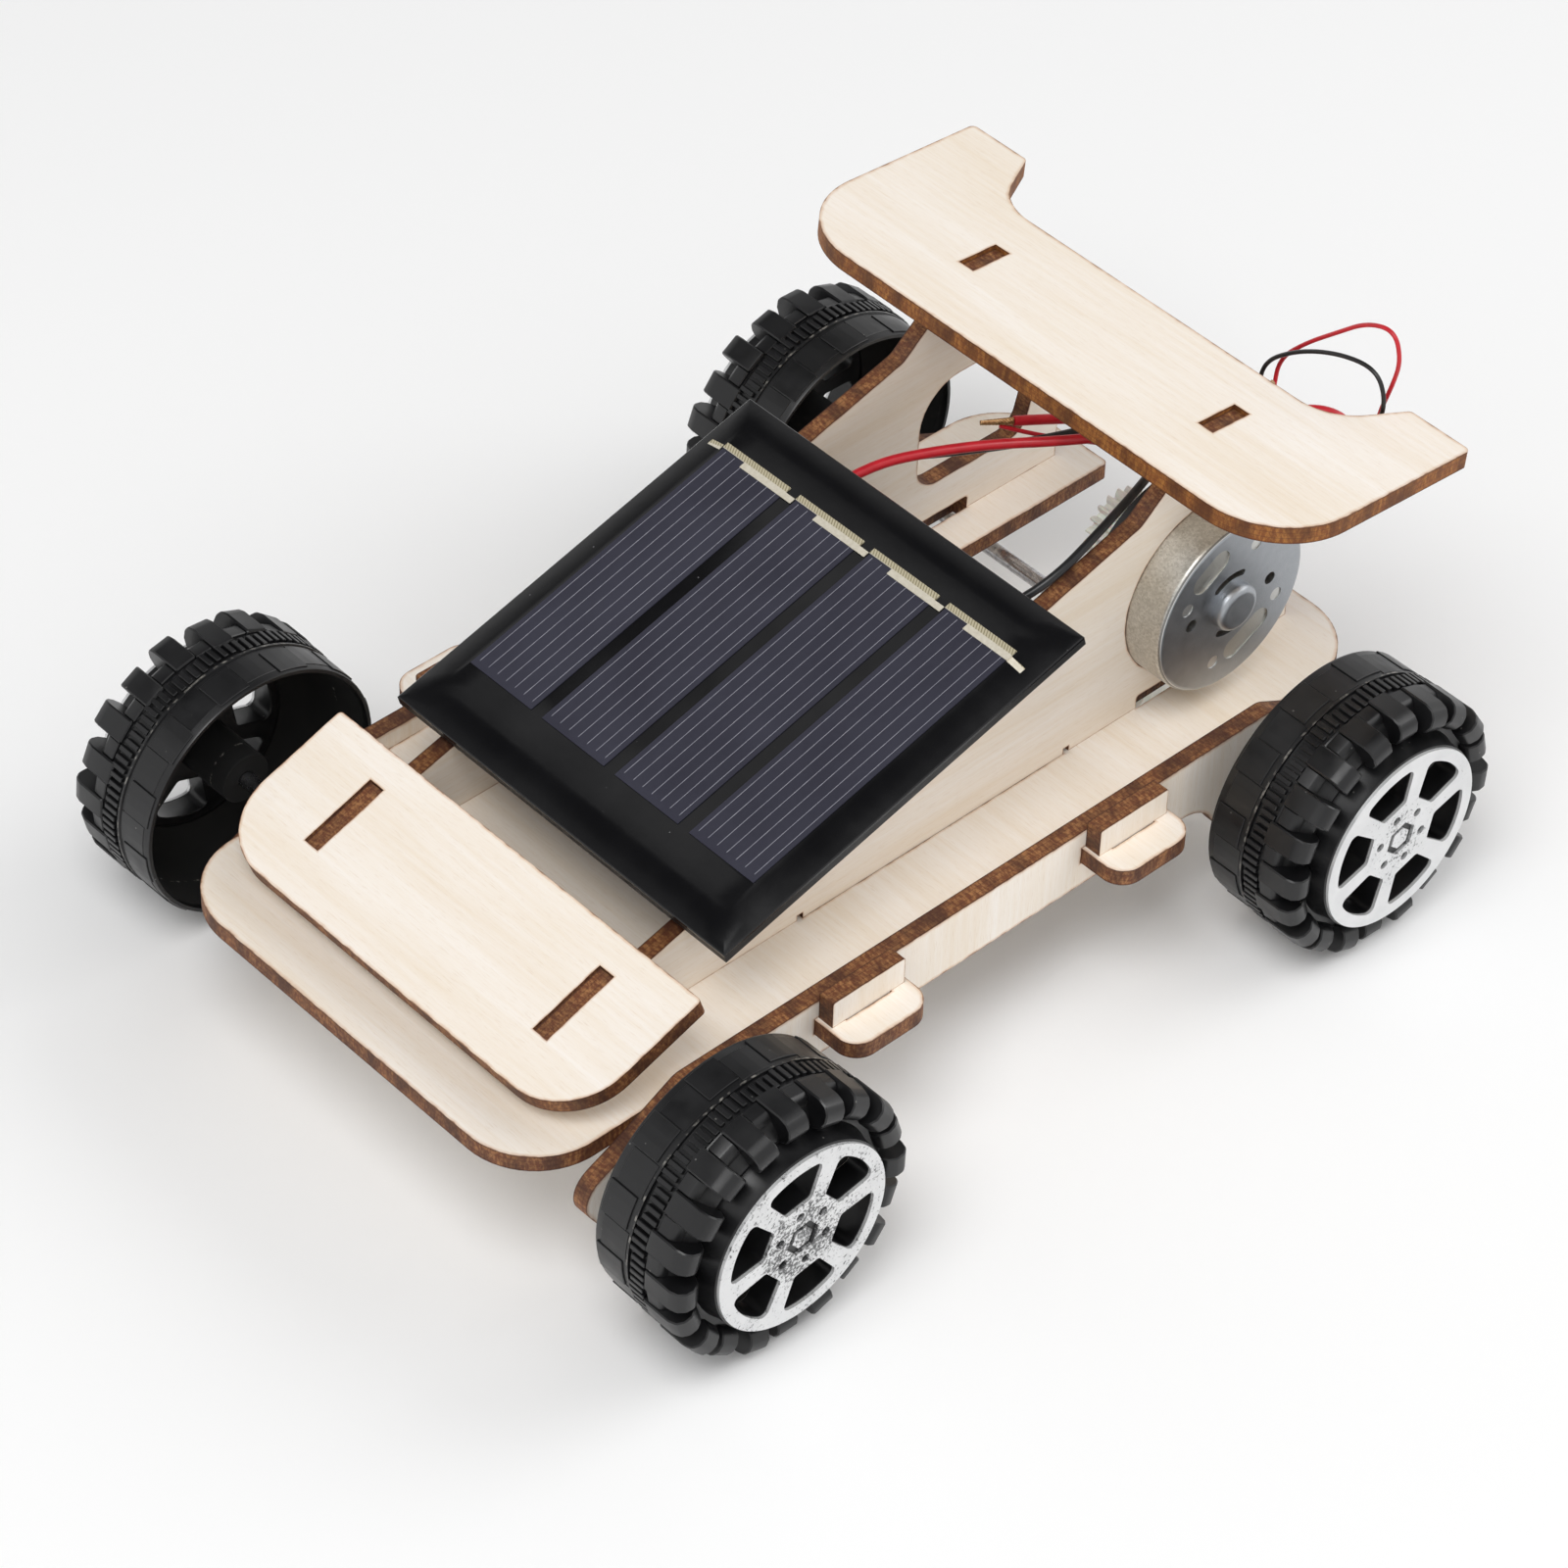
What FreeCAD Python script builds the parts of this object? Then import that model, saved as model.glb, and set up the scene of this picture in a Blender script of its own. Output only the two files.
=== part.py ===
import FreeCAD, Part
import math
import os

# Solar powered toy car of laser-cut plywood.
# +X is the car's motor side, +Y points to its tail and +Z is up.
# The origin is on the floor, under the middle of the car. All sizes are millimetres.

V = FreeCAD.Vector

# ---- driving dimensions ------------------------------------------------------------
CAR_HALF_LENGTH = 68.5        # nose of the base plate and tips of the rear wing
PLY = 2.3                     # plywood thickness
SLOT = 2.4                    # width of a laser-cut slot that takes one sheet
WHEEL_R = 17.5
WHEEL_FACE_X = 55.0           # outer face of each wheel
WHEEL_W = 15.3
AXLE_Y = 48.25                # half the wheelbase
AXLE_Z = WHEEL_R
AXLE_R = 1.0
RUNNING_GAP = 0.06            # radial clearance of an axle in its hole

BASE_TOP = 21.8
BASE_HALF_W = 32.0
BASE_TAIL_Y = 67.3
CUTOUT_HALF_W = 13.45         # slot in the tail that the axle gear turns in
CUTOUT_FRONT_Y = 32.2         # clear of the gear's front teeth
EAR_Y = 21.3                  # middle of each ear of the base plate
EAR_LEN = 12.4
EAR_X = 41.0

RAIL_TOP = 24.5
RAIL_BELLY = 15.7
LOBE_BOTTOM = 8.0

PANEL_X = 20.1                # middle plane of each inner side panel
PANEL_TAB = (-17.3, 24.9)     # foot tab that sits in the base plate
PANEL_WINDOW = (37.2, 47.7)   # open slot in the base plate, under a notch of the foot
PANEL_TAIL_Y = 63.2
RAMP_Y0 = -48.6               # the ramp that carries the solar panel starts here
RAMP_Z0 = 28.2
RAMP_DEG = 15.5

NOSE_Y = -42.36               # tail edge of the front wing, on its top face
NOSE_Z = 32.7
NOSE_DEG = 19.1
NOSE_LEN = 21.2
NOSE_HALF_W = 31.5
NOSE_TAB = (-14.6, -4.3)
TAB_SUNK = 0.4                # the tabs stop this far below the wings' top faces

WING_Y = 50.2
WING_Z = 59.5
WING_DEG = -4.8
WING_FRONT_Y = 35.7
WING_BACK_Y = 59.3
WING_HALF_W = 41.8
WING_TIP_Y = CAR_HALF_LENGTH + 0.07
WING_TAB = (46.3, 52.3)

SOLAR_Y = -36.1               # front edge of the solar panel
SOLAR_X = 0.5                 # middle of the solar panel
SOLAR_W = 56.8
SOLAR_L = 57.3
TAPE_T = 1.1
BOARD_T = 1.0
RESIN_T = 1.5
RESIN_SLOPE = 3.7             # width of the sloped edge of the resin
RESIN_RIM = 0.4               # height of its upright rim
CELL_T = 0.12
CELL_W = 10.8
CELL_L = 41.0
CELL_PITCH = 12.7
CELL_FIRST_X = -23.9
CELL_FRONT = 8.5              # from the panel's front edge to the cells
RIBBON_W = 0.85
RIBBON_T = 0.08

MOTOR_Y = 46.3
MOTOR_R = 12.2
MOTOR_L = 12.3
MOTOR_OUT_X = 26.8            # closed outer end of the can
MODULE = 0.5
PINION_TEETH = 18
AXLE_TEETH = 60
MESH = MODULE * (PINION_TEETH + AXLE_TEETH) / 2
MOTOR_Z = AXLE_Z + math.sqrt(MESH ** 2 - (AXLE_Y - MOTOR_Y) ** 2)
MOTOR_IN_X = MOTOR_OUT_X - MOTOR_L
SHAFT_R = 1.0

THICK_WIRE_R = 0.65
BLACK_WIRE_R = 0.55
THIN_WIRE_R = 0.28


# ---- small helpers -----------------------------------------------------------------
def save(name, shape):
    if isinstance(shape, list):
        shape = Part.makeCompound(shape)
    if not shape.isValid():
        print("not valid:", name)
    shape.exportStep("parts/" + name + ".step")
    box = shape.BoundBox
    print("%-24s %8.1f mm3  x %.1f %.1f  y %.1f %.1f  z %.1f %.1f" % (
        name, shape.Volume, box.XMin, box.XMax, box.YMin, box.YMax, box.ZMin, box.ZMax))


def box(x0, x1, y0, y1, z0, z1):
    return Part.makeBox(x1 - x0, y1 - y0, z1 - z0, V(x0, y0, z0))


def rod_x(x0, x1, y, z, r):
    return Part.makeCylinder(r, x1 - x0, V(x0, y, z), V(1, 0, 0))


def mirror_x(shape):
    return shape.mirror(V(0, 0, 0), V(1, 0, 0))


def round_corner(before, corner, after, radius):
    """The two tangent points and the middle point of the arc that rounds a corner."""
    to_a = (before - corner).normalize()
    to_b = (after - corner).normalize()
    half = math.acos(max(-1.0, min(1.0, to_a.dot(to_b)))) / 2
    reach = radius / math.tan(half)
    middle = corner + (to_a + to_b).normalize() * (radius / math.sin(half) - radius)
    return corner + to_a * reach, middle, corner + to_b * reach


def rounded_wire(points, radii):
    """Closed wire through flat points, with each corner rounded by its own radius."""
    count = len(points)
    arcs = []
    for i in range(count):
        if radii[i] > 0:
            arcs.append(round_corner(points[i - 1], points[i], points[(i + 1) % count], radii[i]))
        else:
            arcs.append((points[i], None, points[i]))
    edges = []
    for i in range(count):
        start, middle, end = arcs[i]
        if middle is not None:
            edges.append(Part.Arc(start, middle, end).toShape())
        following = arcs[(i + 1) % count][0]
        if end.distanceToPoint(following) > 1e-6:
            edges.append(Part.LineSegment(end, following).toShape())
    return Part.Wire(edges)


def sheet_xy(corners, z_top, thick):
    """A flat board from (x, y, corner radius) corners, lying with its top face at z_top."""
    points = [V(x, y, z_top) for x, y, r in corners]
    wire = rounded_wire(points, [r for x, y, r in corners])
    return Part.Face(wire).extrude(V(0, 0, -thick))


def sheet_yz(corners, x_low, thick):
    """An upright board from (y, z, corner radius) corners, filling x_low to x_low + thick."""
    points = [V(x_low, y, z) for y, z, r in corners]
    wire = rounded_wire(points, [r for y, z, r in corners])
    return Part.Face(wire).extrude(V(thick, 0, 0))


def tilt(shape, degrees, y, z):
    """Turns a board about the X line through (y, z), so that its tail end rises."""
    turned = shape.copy()
    turned.rotate(V(0, y, z), V(1, 0, 0), degrees)
    return turned


def tilt_point(along, normal, degrees, y, z):
    a = math.radians(degrees)
    return (y + along * math.cos(a) - normal * math.sin(a),
            z + along * math.sin(a) + normal * math.cos(a))


def ramp_z(y):
    return RAMP_Z0 + (y - RAMP_Y0) * math.tan(math.radians(RAMP_DEG))


# ---- plywood -----------------------------------------------------------------------
def base_plate():
    tail = BASE_TAIL_Y
    corners = [(-BASE_HALF_W, -CAR_HALF_LENGTH, 10), (BASE_HALF_W, -CAR_HALF_LENGTH, 10),
               (BASE_HALF_W, tail, 10), (CUTOUT_HALF_W, tail, 0.8),
               (CUTOUT_HALF_W, CUTOUT_FRONT_Y, 2), (-CUTOUT_HALF_W, CUTOUT_FRONT_Y, 2),
               (-CUTOUT_HALF_W, tail, 0.8), (-BASE_HALF_W, tail, 10)]
    plate = sheet_xy(corners, BASE_TOP, PLY)
    for side in (-1, 1):
        for y in (-EAR_Y, EAR_Y):
            outer, inner = side * EAR_X, side * (BASE_HALF_W - 3)
            ear = sheet_xy([(inner, y - EAR_LEN / 2, 0), (outer, y - EAR_LEN / 2, 3),
                            (outer, y + EAR_LEN / 2, 3), (inner, y + EAR_LEN / 2, 0)], BASE_TOP, PLY)
            plate = plate.fuse(ear)
            stem = sorted((side * (BASE_HALF_W + PLY), side * (BASE_HALF_W + PLY + SLOT)))
            plate = plate.cut(box(stem[0], stem[1], y - 3.5, y + 3.5, BASE_TOP - 5, BASE_TOP + 5))
        for y0, y1 in (PANEL_TAB, PANEL_WINDOW):
            middle = side * PANEL_X
            slot = box(middle - SLOT / 2, middle + SLOT / 2, y0 - 0.05, y1 + 0.05, BASE_TOP - 5, BASE_TOP + 5)
            plate = plate.cut(slot)
    return plate.removeSplitter()


def rail():
    """The outer longitudinal board on the +X side, with a lobe for each axle."""
    half = [(0.0, RAIL_BELLY, 0), (35.5, RAIL_BELLY, 6), (41.0, LOBE_BOTTOM, 5),
            (58.0, LOBE_BOTTOM, 5), (63.3, 16.2, 3.5), (54.6, 20.3, 4), (46.8, RAIL_TOP, 3)]
    tail = half[1:]
    nose = [(-y, z, r) for y, z, r in reversed(tail)]
    board = sheet_yz(nose + tail, BASE_HALF_W, PLY)
    for side in (-1, 1):
        board = board.cut(rod_x(0, 60, side * AXLE_Y, AXLE_Z, AXLE_R + RUNNING_GAP))
        y = side * EAR_Y
        board = board.cut(box(0, 60, y - EAR_LEN / 2 - 0.05, y + EAR_LEN / 2 + 0.05,
                              BASE_TOP - PLY - 0.05, BASE_TOP + 0.05))
    return board


def side_panel(with_motor):
    """The inner side panel on the +X side: nose tab, ramp, wing post and foot."""
    nose = [tilt_point(s, n, NOSE_DEG, NOSE_Y, NOSE_Z) for s, n in (
        (-NOSE_LEN + 3.2, -PLY), (NOSE_TAB[0], -PLY), (NOSE_TAB[0], -TAB_SUNK),
        (NOSE_TAB[1], -TAB_SUNK), (NOSE_TAB[1], -PLY), (0.0, -PLY))]
    wing = [tilt_point(s - WING_Y, n, WING_DEG, WING_Y, WING_Z) for s, n in (
        (42.6, -PLY), (WING_TAB[0], -PLY), (WING_TAB[0], -1.5 * TAB_SUNK),
        (WING_TAB[1], -1.5 * TAB_SUNK), (WING_TAB[1], -PLY), (54.6, -PLY))]
    front_y = nose[0][0]
    outline = [(y, z, 0) for y, z in nose]
    outline += [(NOSE_Y + 1.0, ramp_z(NOSE_Y + 1.0), 0), (35.2, ramp_z(35.2), 2), (38.7, 54.4, 3)]
    outline += [(y, z, 0) for y, z in wing]
    outline += [(57.5, 52.5, 4), (PANEL_TAIL_Y, 44.5, 5), (PANEL_TAIL_Y, BASE_TOP, 0)]
    outline += [(PANEL_WINDOW[1], BASE_TOP, 0), (PANEL_WINDOW[1], BASE_TOP + 1.9, 0.5),
                (PANEL_WINDOW[0], BASE_TOP + 1.9, 0.5), (PANEL_WINDOW[0], BASE_TOP, 0)]
    outline += [(PANEL_TAB[1] + 0.9, BASE_TOP, 0), (PANEL_TAB[1] + 0.9, BASE_TOP + 0.8, 0),
                (PANEL_TAB[1], BASE_TOP + 0.8, 0), (PANEL_TAB[1], BASE_TOP - PLY, 0),
                (PANEL_TAB[0], BASE_TOP - PLY, 0), (PANEL_TAB[0], BASE_TOP + 0.8, 0),
                (PANEL_TAB[0] - 0.9, BASE_TOP + 0.8, 0), (PANEL_TAB[0] - 0.9, BASE_TOP, 0),
                (front_y, BASE_TOP, 0)]
    board = sheet_yz(outline, PANEL_X - PLY / 2, PLY)
    if with_motor:
        return board.cut(rod_x(0, 60, MOTOR_Y, MOTOR_Z, MOTOR_R + 0.05))
    hole = [(38.6, 29.0, 3.5), (56.9, 29.0, 3), (59.4, 38.5, 3), (55.0, 44.8, 3), (38.6, 44.8, 6.5)]
    return board.cut(sheet_yz(hole, 0, 60))


def front_wing():
    corners = [(-NOSE_HALF_W, NOSE_Y - NOSE_LEN, 9), (NOSE_HALF_W, NOSE_Y - NOSE_LEN, 9),
               (NOSE_HALF_W, NOSE_Y, 0.6), (-NOSE_HALF_W, NOSE_Y, 0.6)]
    board = sheet_xy(corners, NOSE_Z, PLY)
    for x in (-PANEL_X, PANEL_X):
        board = board.cut(box(x - SLOT / 2, x + SLOT / 2, NOSE_Y + NOSE_TAB[0] - 0.1,
                              NOSE_Y + NOSE_TAB[1] + 0.1, NOSE_Z - 5, NOSE_Z + 5))
    return tilt(board, NOSE_DEG, NOSE_Y, NOSE_Z)


def rear_wing():
    half = [(WING_HALF_W, WING_FRONT_Y, 11.5), (WING_HALF_W, WING_TIP_Y, 0.8),
            (32.3, WING_TIP_Y, 0.8), (27.4, WING_BACK_Y, 8)]
    corners = half + [(-x, y, r) for x, y, r in reversed(half)]
    board = sheet_xy(corners, WING_Z, PLY)
    for x in (-PANEL_X, PANEL_X):
        board = board.cut(box(x - SLOT / 2, x + SLOT / 2, WING_TAB[0] - 0.1, WING_TAB[1] + 0.1,
                              WING_Z - 5, WING_Z + 5))
    return tilt(board, WING_DEG, WING_Y, WING_Z)


def rail_key(y):
    """T-shaped peg that stands in an ear, outside the rail, and stops the rail sliding off."""
    outline = [(y - 5.6, BASE_TOP, 0), (y - 3.4, BASE_TOP, 0), (y - 3.4, BASE_TOP - 5.0, 0.5),
               (y + 3.4, BASE_TOP - 5.0, 0.5), (y + 3.4, BASE_TOP, 0), (y + 5.6, BASE_TOP, 0),
               (y + 5.6, BASE_TOP + 3.9, 0.3), (y - 5.6, BASE_TOP + 3.9, 0.3)]
    return sheet_yz(outline, BASE_HALF_W + PLY, PLY)


# ---- solar panel -------------------------------------------------------------------
def on_ramp(shape):
    """Lays a shape, made flat at the ramp's level under SOLAR_Y, onto the ramp."""
    return tilt(shape, RAMP_DEG, SOLAR_Y, ramp_z(SOLAR_Y))


def solar_tape():
    z = ramp_z(SOLAR_Y)
    pads = []
    for x in (-PANEL_X, PANEL_X):
        pads.append(on_ramp(box(x - PLY / 2, x + PLY / 2, SOLAR_Y + 3, SOLAR_Y + SOLAR_L - 4, z, z + TAPE_T)))
    return pads


def solar_board():
    z = ramp_z(SOLAR_Y) + TAPE_T
    x0, x1 = SOLAR_X - SOLAR_W / 2, SOLAR_X + SOLAR_W / 2
    return on_ramp(box(x0, x1, SOLAR_Y, SOLAR_Y + SOLAR_L, z, z + BOARD_T))


def solar_resin():
    """Cast resin slab: a short upright rim, then a wide sloped edge up to the flat top."""
    z = ramp_z(SOLAR_Y) + TAPE_T + BOARD_T
    x0, x1 = SOLAR_X - SOLAR_W / 2, SOLAR_X + SOLAR_W / 2
    y0, y1 = SOLAR_Y, SOLAR_Y + SOLAR_L
    rim = box(x0, x1, y0, y1, z, z + RESIN_RIM)
    rings = []
    for inset, height in ((0.0, RESIN_RIM), (RESIN_SLOPE, RESIN_T)):
        points = [V(x0 + inset, y0 + inset, z + height), V(x1 - inset, y0 + inset, z + height),
                  V(x1 - inset, y1 - inset, z + height), V(x0 + inset, y1 - inset, z + height)]
        rings.append(Part.makePolygon(points + [points[0]]))
    slab = rim.fuse(Part.makeLoft(rings, True, True)).removeSplitter()
    return on_ramp(slab)


def cell_edges():
    """Left edge of each of the four cells."""
    return [CELL_FIRST_X + i * CELL_PITCH for i in range(4)]


def solar_cells():
    z = ramp_z(SOLAR_Y) + TAPE_T + BOARD_T + RESIN_T
    y0, y1 = SOLAR_Y + CELL_FRONT, SOLAR_Y + CELL_FRONT + CELL_L
    return [on_ramp(box(x, x + CELL_W, y0, y1, z, z + CELL_T)) for x in cell_edges()]


def cell_tabs():
    """Tinned ribbons across the cells' tail ends, in two staggered rows."""
    z = ramp_z(SOLAR_Y) + TAPE_T + BOARD_T + RESIN_T + CELL_T
    y = SOLAR_Y + CELL_FRONT + CELL_L
    flat_edge = SOLAR_X + SOLAR_W / 2 - RESIN_SLOPE
    tabs = []
    for x in cell_edges():
        front_end = min(x + 12.5, flat_edge)
        tabs.append(on_ramp(box(x + 3.7, front_end, y - RIBBON_W, y, z, z + RIBBON_T)))
        tabs.append(on_ramp(box(x - 0.1, x + 10.9, y, y + RIBBON_W, z - CELL_T, z + RIBBON_T)))
    return tabs


SOLDER_X = (-12.0, 15.0)
SOLDER_ALONG = 46.0
SOLDER_R = 1.6
SOLDER_H = 0.7


def solar_solder():
    """Two solder joints under the board, one for each lead."""
    z = ramp_z(SOLAR_Y) + TAPE_T - SOLDER_H
    y = SOLAR_Y + SOLDER_ALONG
    return [on_ramp(Part.makeCylinder(SOLDER_R, SOLDER_H, V(x, y, z))) for x in SOLDER_X]


# ---- wheels and axles --------------------------------------------------------------
WINDOW_IN = (5.75, 19.0)      # radius and half angle of a window's straight inner edge
WINDOW_OUT = (10.8, 23.0)     # the same for its curved outer edge
WINDOW_CORNERS = (0.6, 0.9)   # corner radii of the inner and the outer edge
FOIL_R = 12.4
FOIL_T = 0.4
FOIL_HOLES = (3.7, 0.6)       # radius of the ring of small round holes, and of each hole


def wheel_windows():
    """Six windows between the spokes, each curved along the rim, about the wheel's own axis."""
    r_in, half_in = WINDOW_IN
    r_out, half_out = WINDOW_OUT
    outline = [(r_in, -half_in)]
    outline += [(r_out, half_out * k / 2) for k in (-2, -1, 0, 1, 2)]
    outline += [(r_in, half_in)]
    tight, wide = WINDOW_CORNERS
    radii = [tight, wide, 8, 8, 8, wide, tight]
    cuts = []
    for i in range(6):
        corners = []
        for r, d in outline:
            a = math.radians(60 * i + d)
            corners.append(V(WHEEL_FACE_X - 4, r * math.cos(a), r * math.sin(a)))
        cuts.append(Part.Face(rounded_wire(corners, radii)).extrude(V(5, 0, 0)))
    return cuts


def wheel():
    """Hollow drum about the X axis at the origin, open inboard, with a spoked face."""
    inner = WHEEL_FACE_X - WHEEL_W
    profile = [(inner, 15.4), (inner, 16.6), (inner + 0.5, 17.0), (WHEEL_FACE_X - 5.5, 17.2),
               (WHEEL_FACE_X - 5.0, WHEEL_R), (WHEEL_FACE_X - 2.4, WHEEL_R), (WHEEL_FACE_X - 1.0, 16.2),
               (WHEEL_FACE_X - 1.0, 13.2), (WHEEL_FACE_X - 0.4, 12.6), (WHEEL_FACE_X - 0.4, 2.2),
               (inner + 3.0, 2.2), (inner + 3.0, 3.4), (WHEEL_FACE_X - 2.6, 3.4),
               (WHEEL_FACE_X - 2.6, 15.4)]
    points = [V(x, r, 0) for x, r in profile]
    face = Part.Face(Part.makePolygon(points + [points[0]]))
    drum = face.revolve(V(0, 0, 0), V(1, 0, 0), 360)
    core = rod_x(inner + 3.0, WHEEL_FACE_X - 0.4, 0, 0, 2.3).cut(rod_x(0, WHEEL_FACE_X - 1.2, 0, 0, AXLE_R))
    drum = drum.fuse(core)
    for cut in wheel_windows():
        drum = drum.cut(cut)
    return drum.removeSplitter()


def hub_face():
    """Thin silver face on the wheel, with the same windows and six small round holes."""
    plate = rod_x(WHEEL_FACE_X - FOIL_T, WHEEL_FACE_X, 0, 0, FOIL_R)
    for cut in wheel_windows():
        plate = plate.cut(cut)
    ring_r, hole_r = FOIL_HOLES
    for i in range(6):
        a = math.radians(60 * i)
        plate = plate.cut(rod_x(50, 60, ring_r * math.cos(a), ring_r * math.sin(a), hole_r))
    for r in (2.4, 1.5):
        turns = [math.radians(60 * i + 30) for i in range(7)]
        ring = [V(50, r * math.cos(a), r * math.sin(a)) for a in turns]
        prism = Part.Face(Part.makePolygon(ring)).extrude(V(10, 0, 0))
        if r > 2:
            plate = plate.cut(prism)
        else:
            plate = plate.fuse(prism.common(rod_x(WHEEL_FACE_X - 0.4, WHEEL_FACE_X - 0.1, 0, 0, 5)))
    return plate


def put_wheel(shape, side, y, turn):
    placed = shape.copy()
    placed.rotate(V(0, 0, 0), V(1, 0, 0), turn)
    if side < 0:
        placed = mirror_x(placed)
    placed.translate(V(0, y, AXLE_Z))
    return placed


def axle(y):
    half = WHEEL_FACE_X - 1.3
    return rod_x(-half, half, y, AXLE_Z, AXLE_R)


# ---- gears and motor ---------------------------------------------------------------
def gear_blank(teeth, width, phase_deg):
    """Spur gear about X at the origin, with 20 degree involute teeth and a little backlash."""
    pitch_r = MODULE * teeth / 2
    base_r = pitch_r * math.cos(math.radians(20))
    tip_r = pitch_r + MODULE
    root_r = pitch_r - 1.25 * MODULE
    thin = 0.05 / pitch_r

    def involute(r):
        if r <= base_r:
            return 0.0
        a = math.acos(base_r / r)
        return math.tan(a) - a

    half_at_pitch = math.pi / (2 * teeth) - thin
    steps = [max(base_r, root_r + 0.02) + (tip_r - max(base_r, root_r + 0.02)) * k / 3 for k in range(4)]
    flank = [(r, half_at_pitch + involute(pitch_r) - involute(r)) for r in steps]
    points = []
    for i in range(teeth):
        middle = 2 * math.pi * i / teeth + math.radians(phase_deg)
        points.append((root_r, middle - flank[0][1] * 1.05))
        points += [(r, middle - half) for r, half in flank]
        points += [(r, middle + half) for r, half in reversed(flank)]
        points.append((root_r, middle + flank[0][1] * 1.05))
    corners = [V(0, r * math.cos(a), r * math.sin(a)) for r, a in points]
    return Part.Face(Part.makePolygon(corners + [corners[0]])).extrude(V(width, 0, 0))


def axle_gear():
    x0, width = 7.4, 3.2
    blank = gear_blank(AXLE_TEETH, width, 0)
    blank = blank.fuse(rod_x(-1.6, width + 1.6, 0, 0, 3.2))
    for i in range(6):
        a = math.radians(60 * i + 30)
        blank = blank.cut(rod_x(-5, 10, 8.6 * math.cos(a), 8.6 * math.sin(a), 2.6))
    blank = blank.cut(rod_x(-5, 10, 0, 0, AXLE_R))
    blank.translate(V(x0, AXLE_Y, AXLE_Z))
    return blank


def motor_pinion():
    """Pinion, turned so that one of its gaps faces a tooth of the axle gear."""
    to_axle = math.degrees(math.atan2(AXLE_Z - MOTOR_Z, AXLE_Y - MOTOR_Y))
    from_axle = math.degrees(math.atan2(MOTOR_Z - AXLE_Z, MOTOR_Y - AXLE_Y))
    pitch_p, pitch_g = 360.0 / PINION_TEETH, 360.0 / AXLE_TEETH
    gear_offset = (from_axle / pitch_g) % 1.0
    phase = to_axle + pitch_p * (0.5 + gear_offset)
    blank = gear_blank(PINION_TEETH, 4.6, phase)
    blank = blank.cut(rod_x(-5, 10, 0, 0, SHAFT_R))
    blank.translate(V(6.9, MOTOR_Y, MOTOR_Z))
    return blank


def at_motor(x0, x1, r, dy=0.0, dz=0.0):
    return rod_x(x0, x1, MOTOR_Y + dy, MOTOR_Z + dz, r)


def stadium(x0, x1, start, end, half_width):
    """Straight round-ended prism along X, from one (dy, dz) end centre to the other."""
    along = V(0, end[0] - start[0], end[1] - start[1])
    side = V(0, -along.z, along.y).normalize() * half_width
    a, b = V(x0, start[0], start[1]), V(x0, end[0], end[1])
    corners = [a + side, b + side, b - side, a - side, a + side]
    bar = Part.Face(Part.makePolygon(corners)).extrude(V(x1 - x0, 0, 0))
    for centre in (start, end):
        bar = bar.fuse(rod_x(x0, x1, centre[0], centre[1], half_width))
    bar.translate(V(0, MOTOR_Y, MOTOR_Z))
    return bar


def arc_groove(x0, x1, r, half_width, a0, a1):
    """Round-ended groove that runs about the motor's axis from angle a0 to a1, in degrees."""
    ends = [math.radians(a) for a in (a0, (a0 + a1) / 2, a1)]
    far = [V(x0, 2 * r * math.cos(a), 2 * r * math.sin(a)) for a in ends]
    wedge = Part.Face(Part.makePolygon([V(x0, 0, 0)] + far + [V(x0, 0, 0)])).extrude(V(x1 - x0, 0, 0))
    ring = rod_x(x0, x1, 0, 0, r + half_width).cut(rod_x(x0, x1, 0, 0, r - half_width))
    groove = ring.common(wedge)
    for a in (ends[0], ends[2]):
        groove = groove.fuse(rod_x(x0, x1, r * math.cos(a), r * math.sin(a), half_width))
    groove.translate(V(0, MOTOR_Y, MOTOR_Z))
    return groove


CAN_WALL = 0.8
CAN_EDGE_R = 0.7              # rounded edge of the drawn can
BOSS_R = 3.2
BOSS_H = 1.5
SCREW_HOLES = ((6.5, 0.4), (-6.9, 0.5))
DIMPLES = ((-7.8, 3.4), (-2.3, -7.9), (7.9, -2.9), (3.4, 7.6))
VENTS = ((4.45, 72, 128), (4.1, -116, -62))               # radius, from and to angle
PRESSED = (((-5.5, 6.4), (-2.8, 8.1)), ((1.1, -7.5), (5.2, -5.4)))    # two wide stiffening presses
PRESSED_HALF_W = 1.6
PRESSED_DEPTH = 0.2
DIMPLE_R = 0.9
DIMPLE_DEPTH = 0.12


def round_edges(shape, x, radius):
    """Rounds the outermost circular edges of a shape that lie at this X."""
    flat = [e for e in shape.Edges if abs(e.BoundBox.XMin - x) < 1e-6 and abs(e.BoundBox.XMax - x) < 1e-6]
    return shape.makeFillet(radius, flat)


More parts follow.
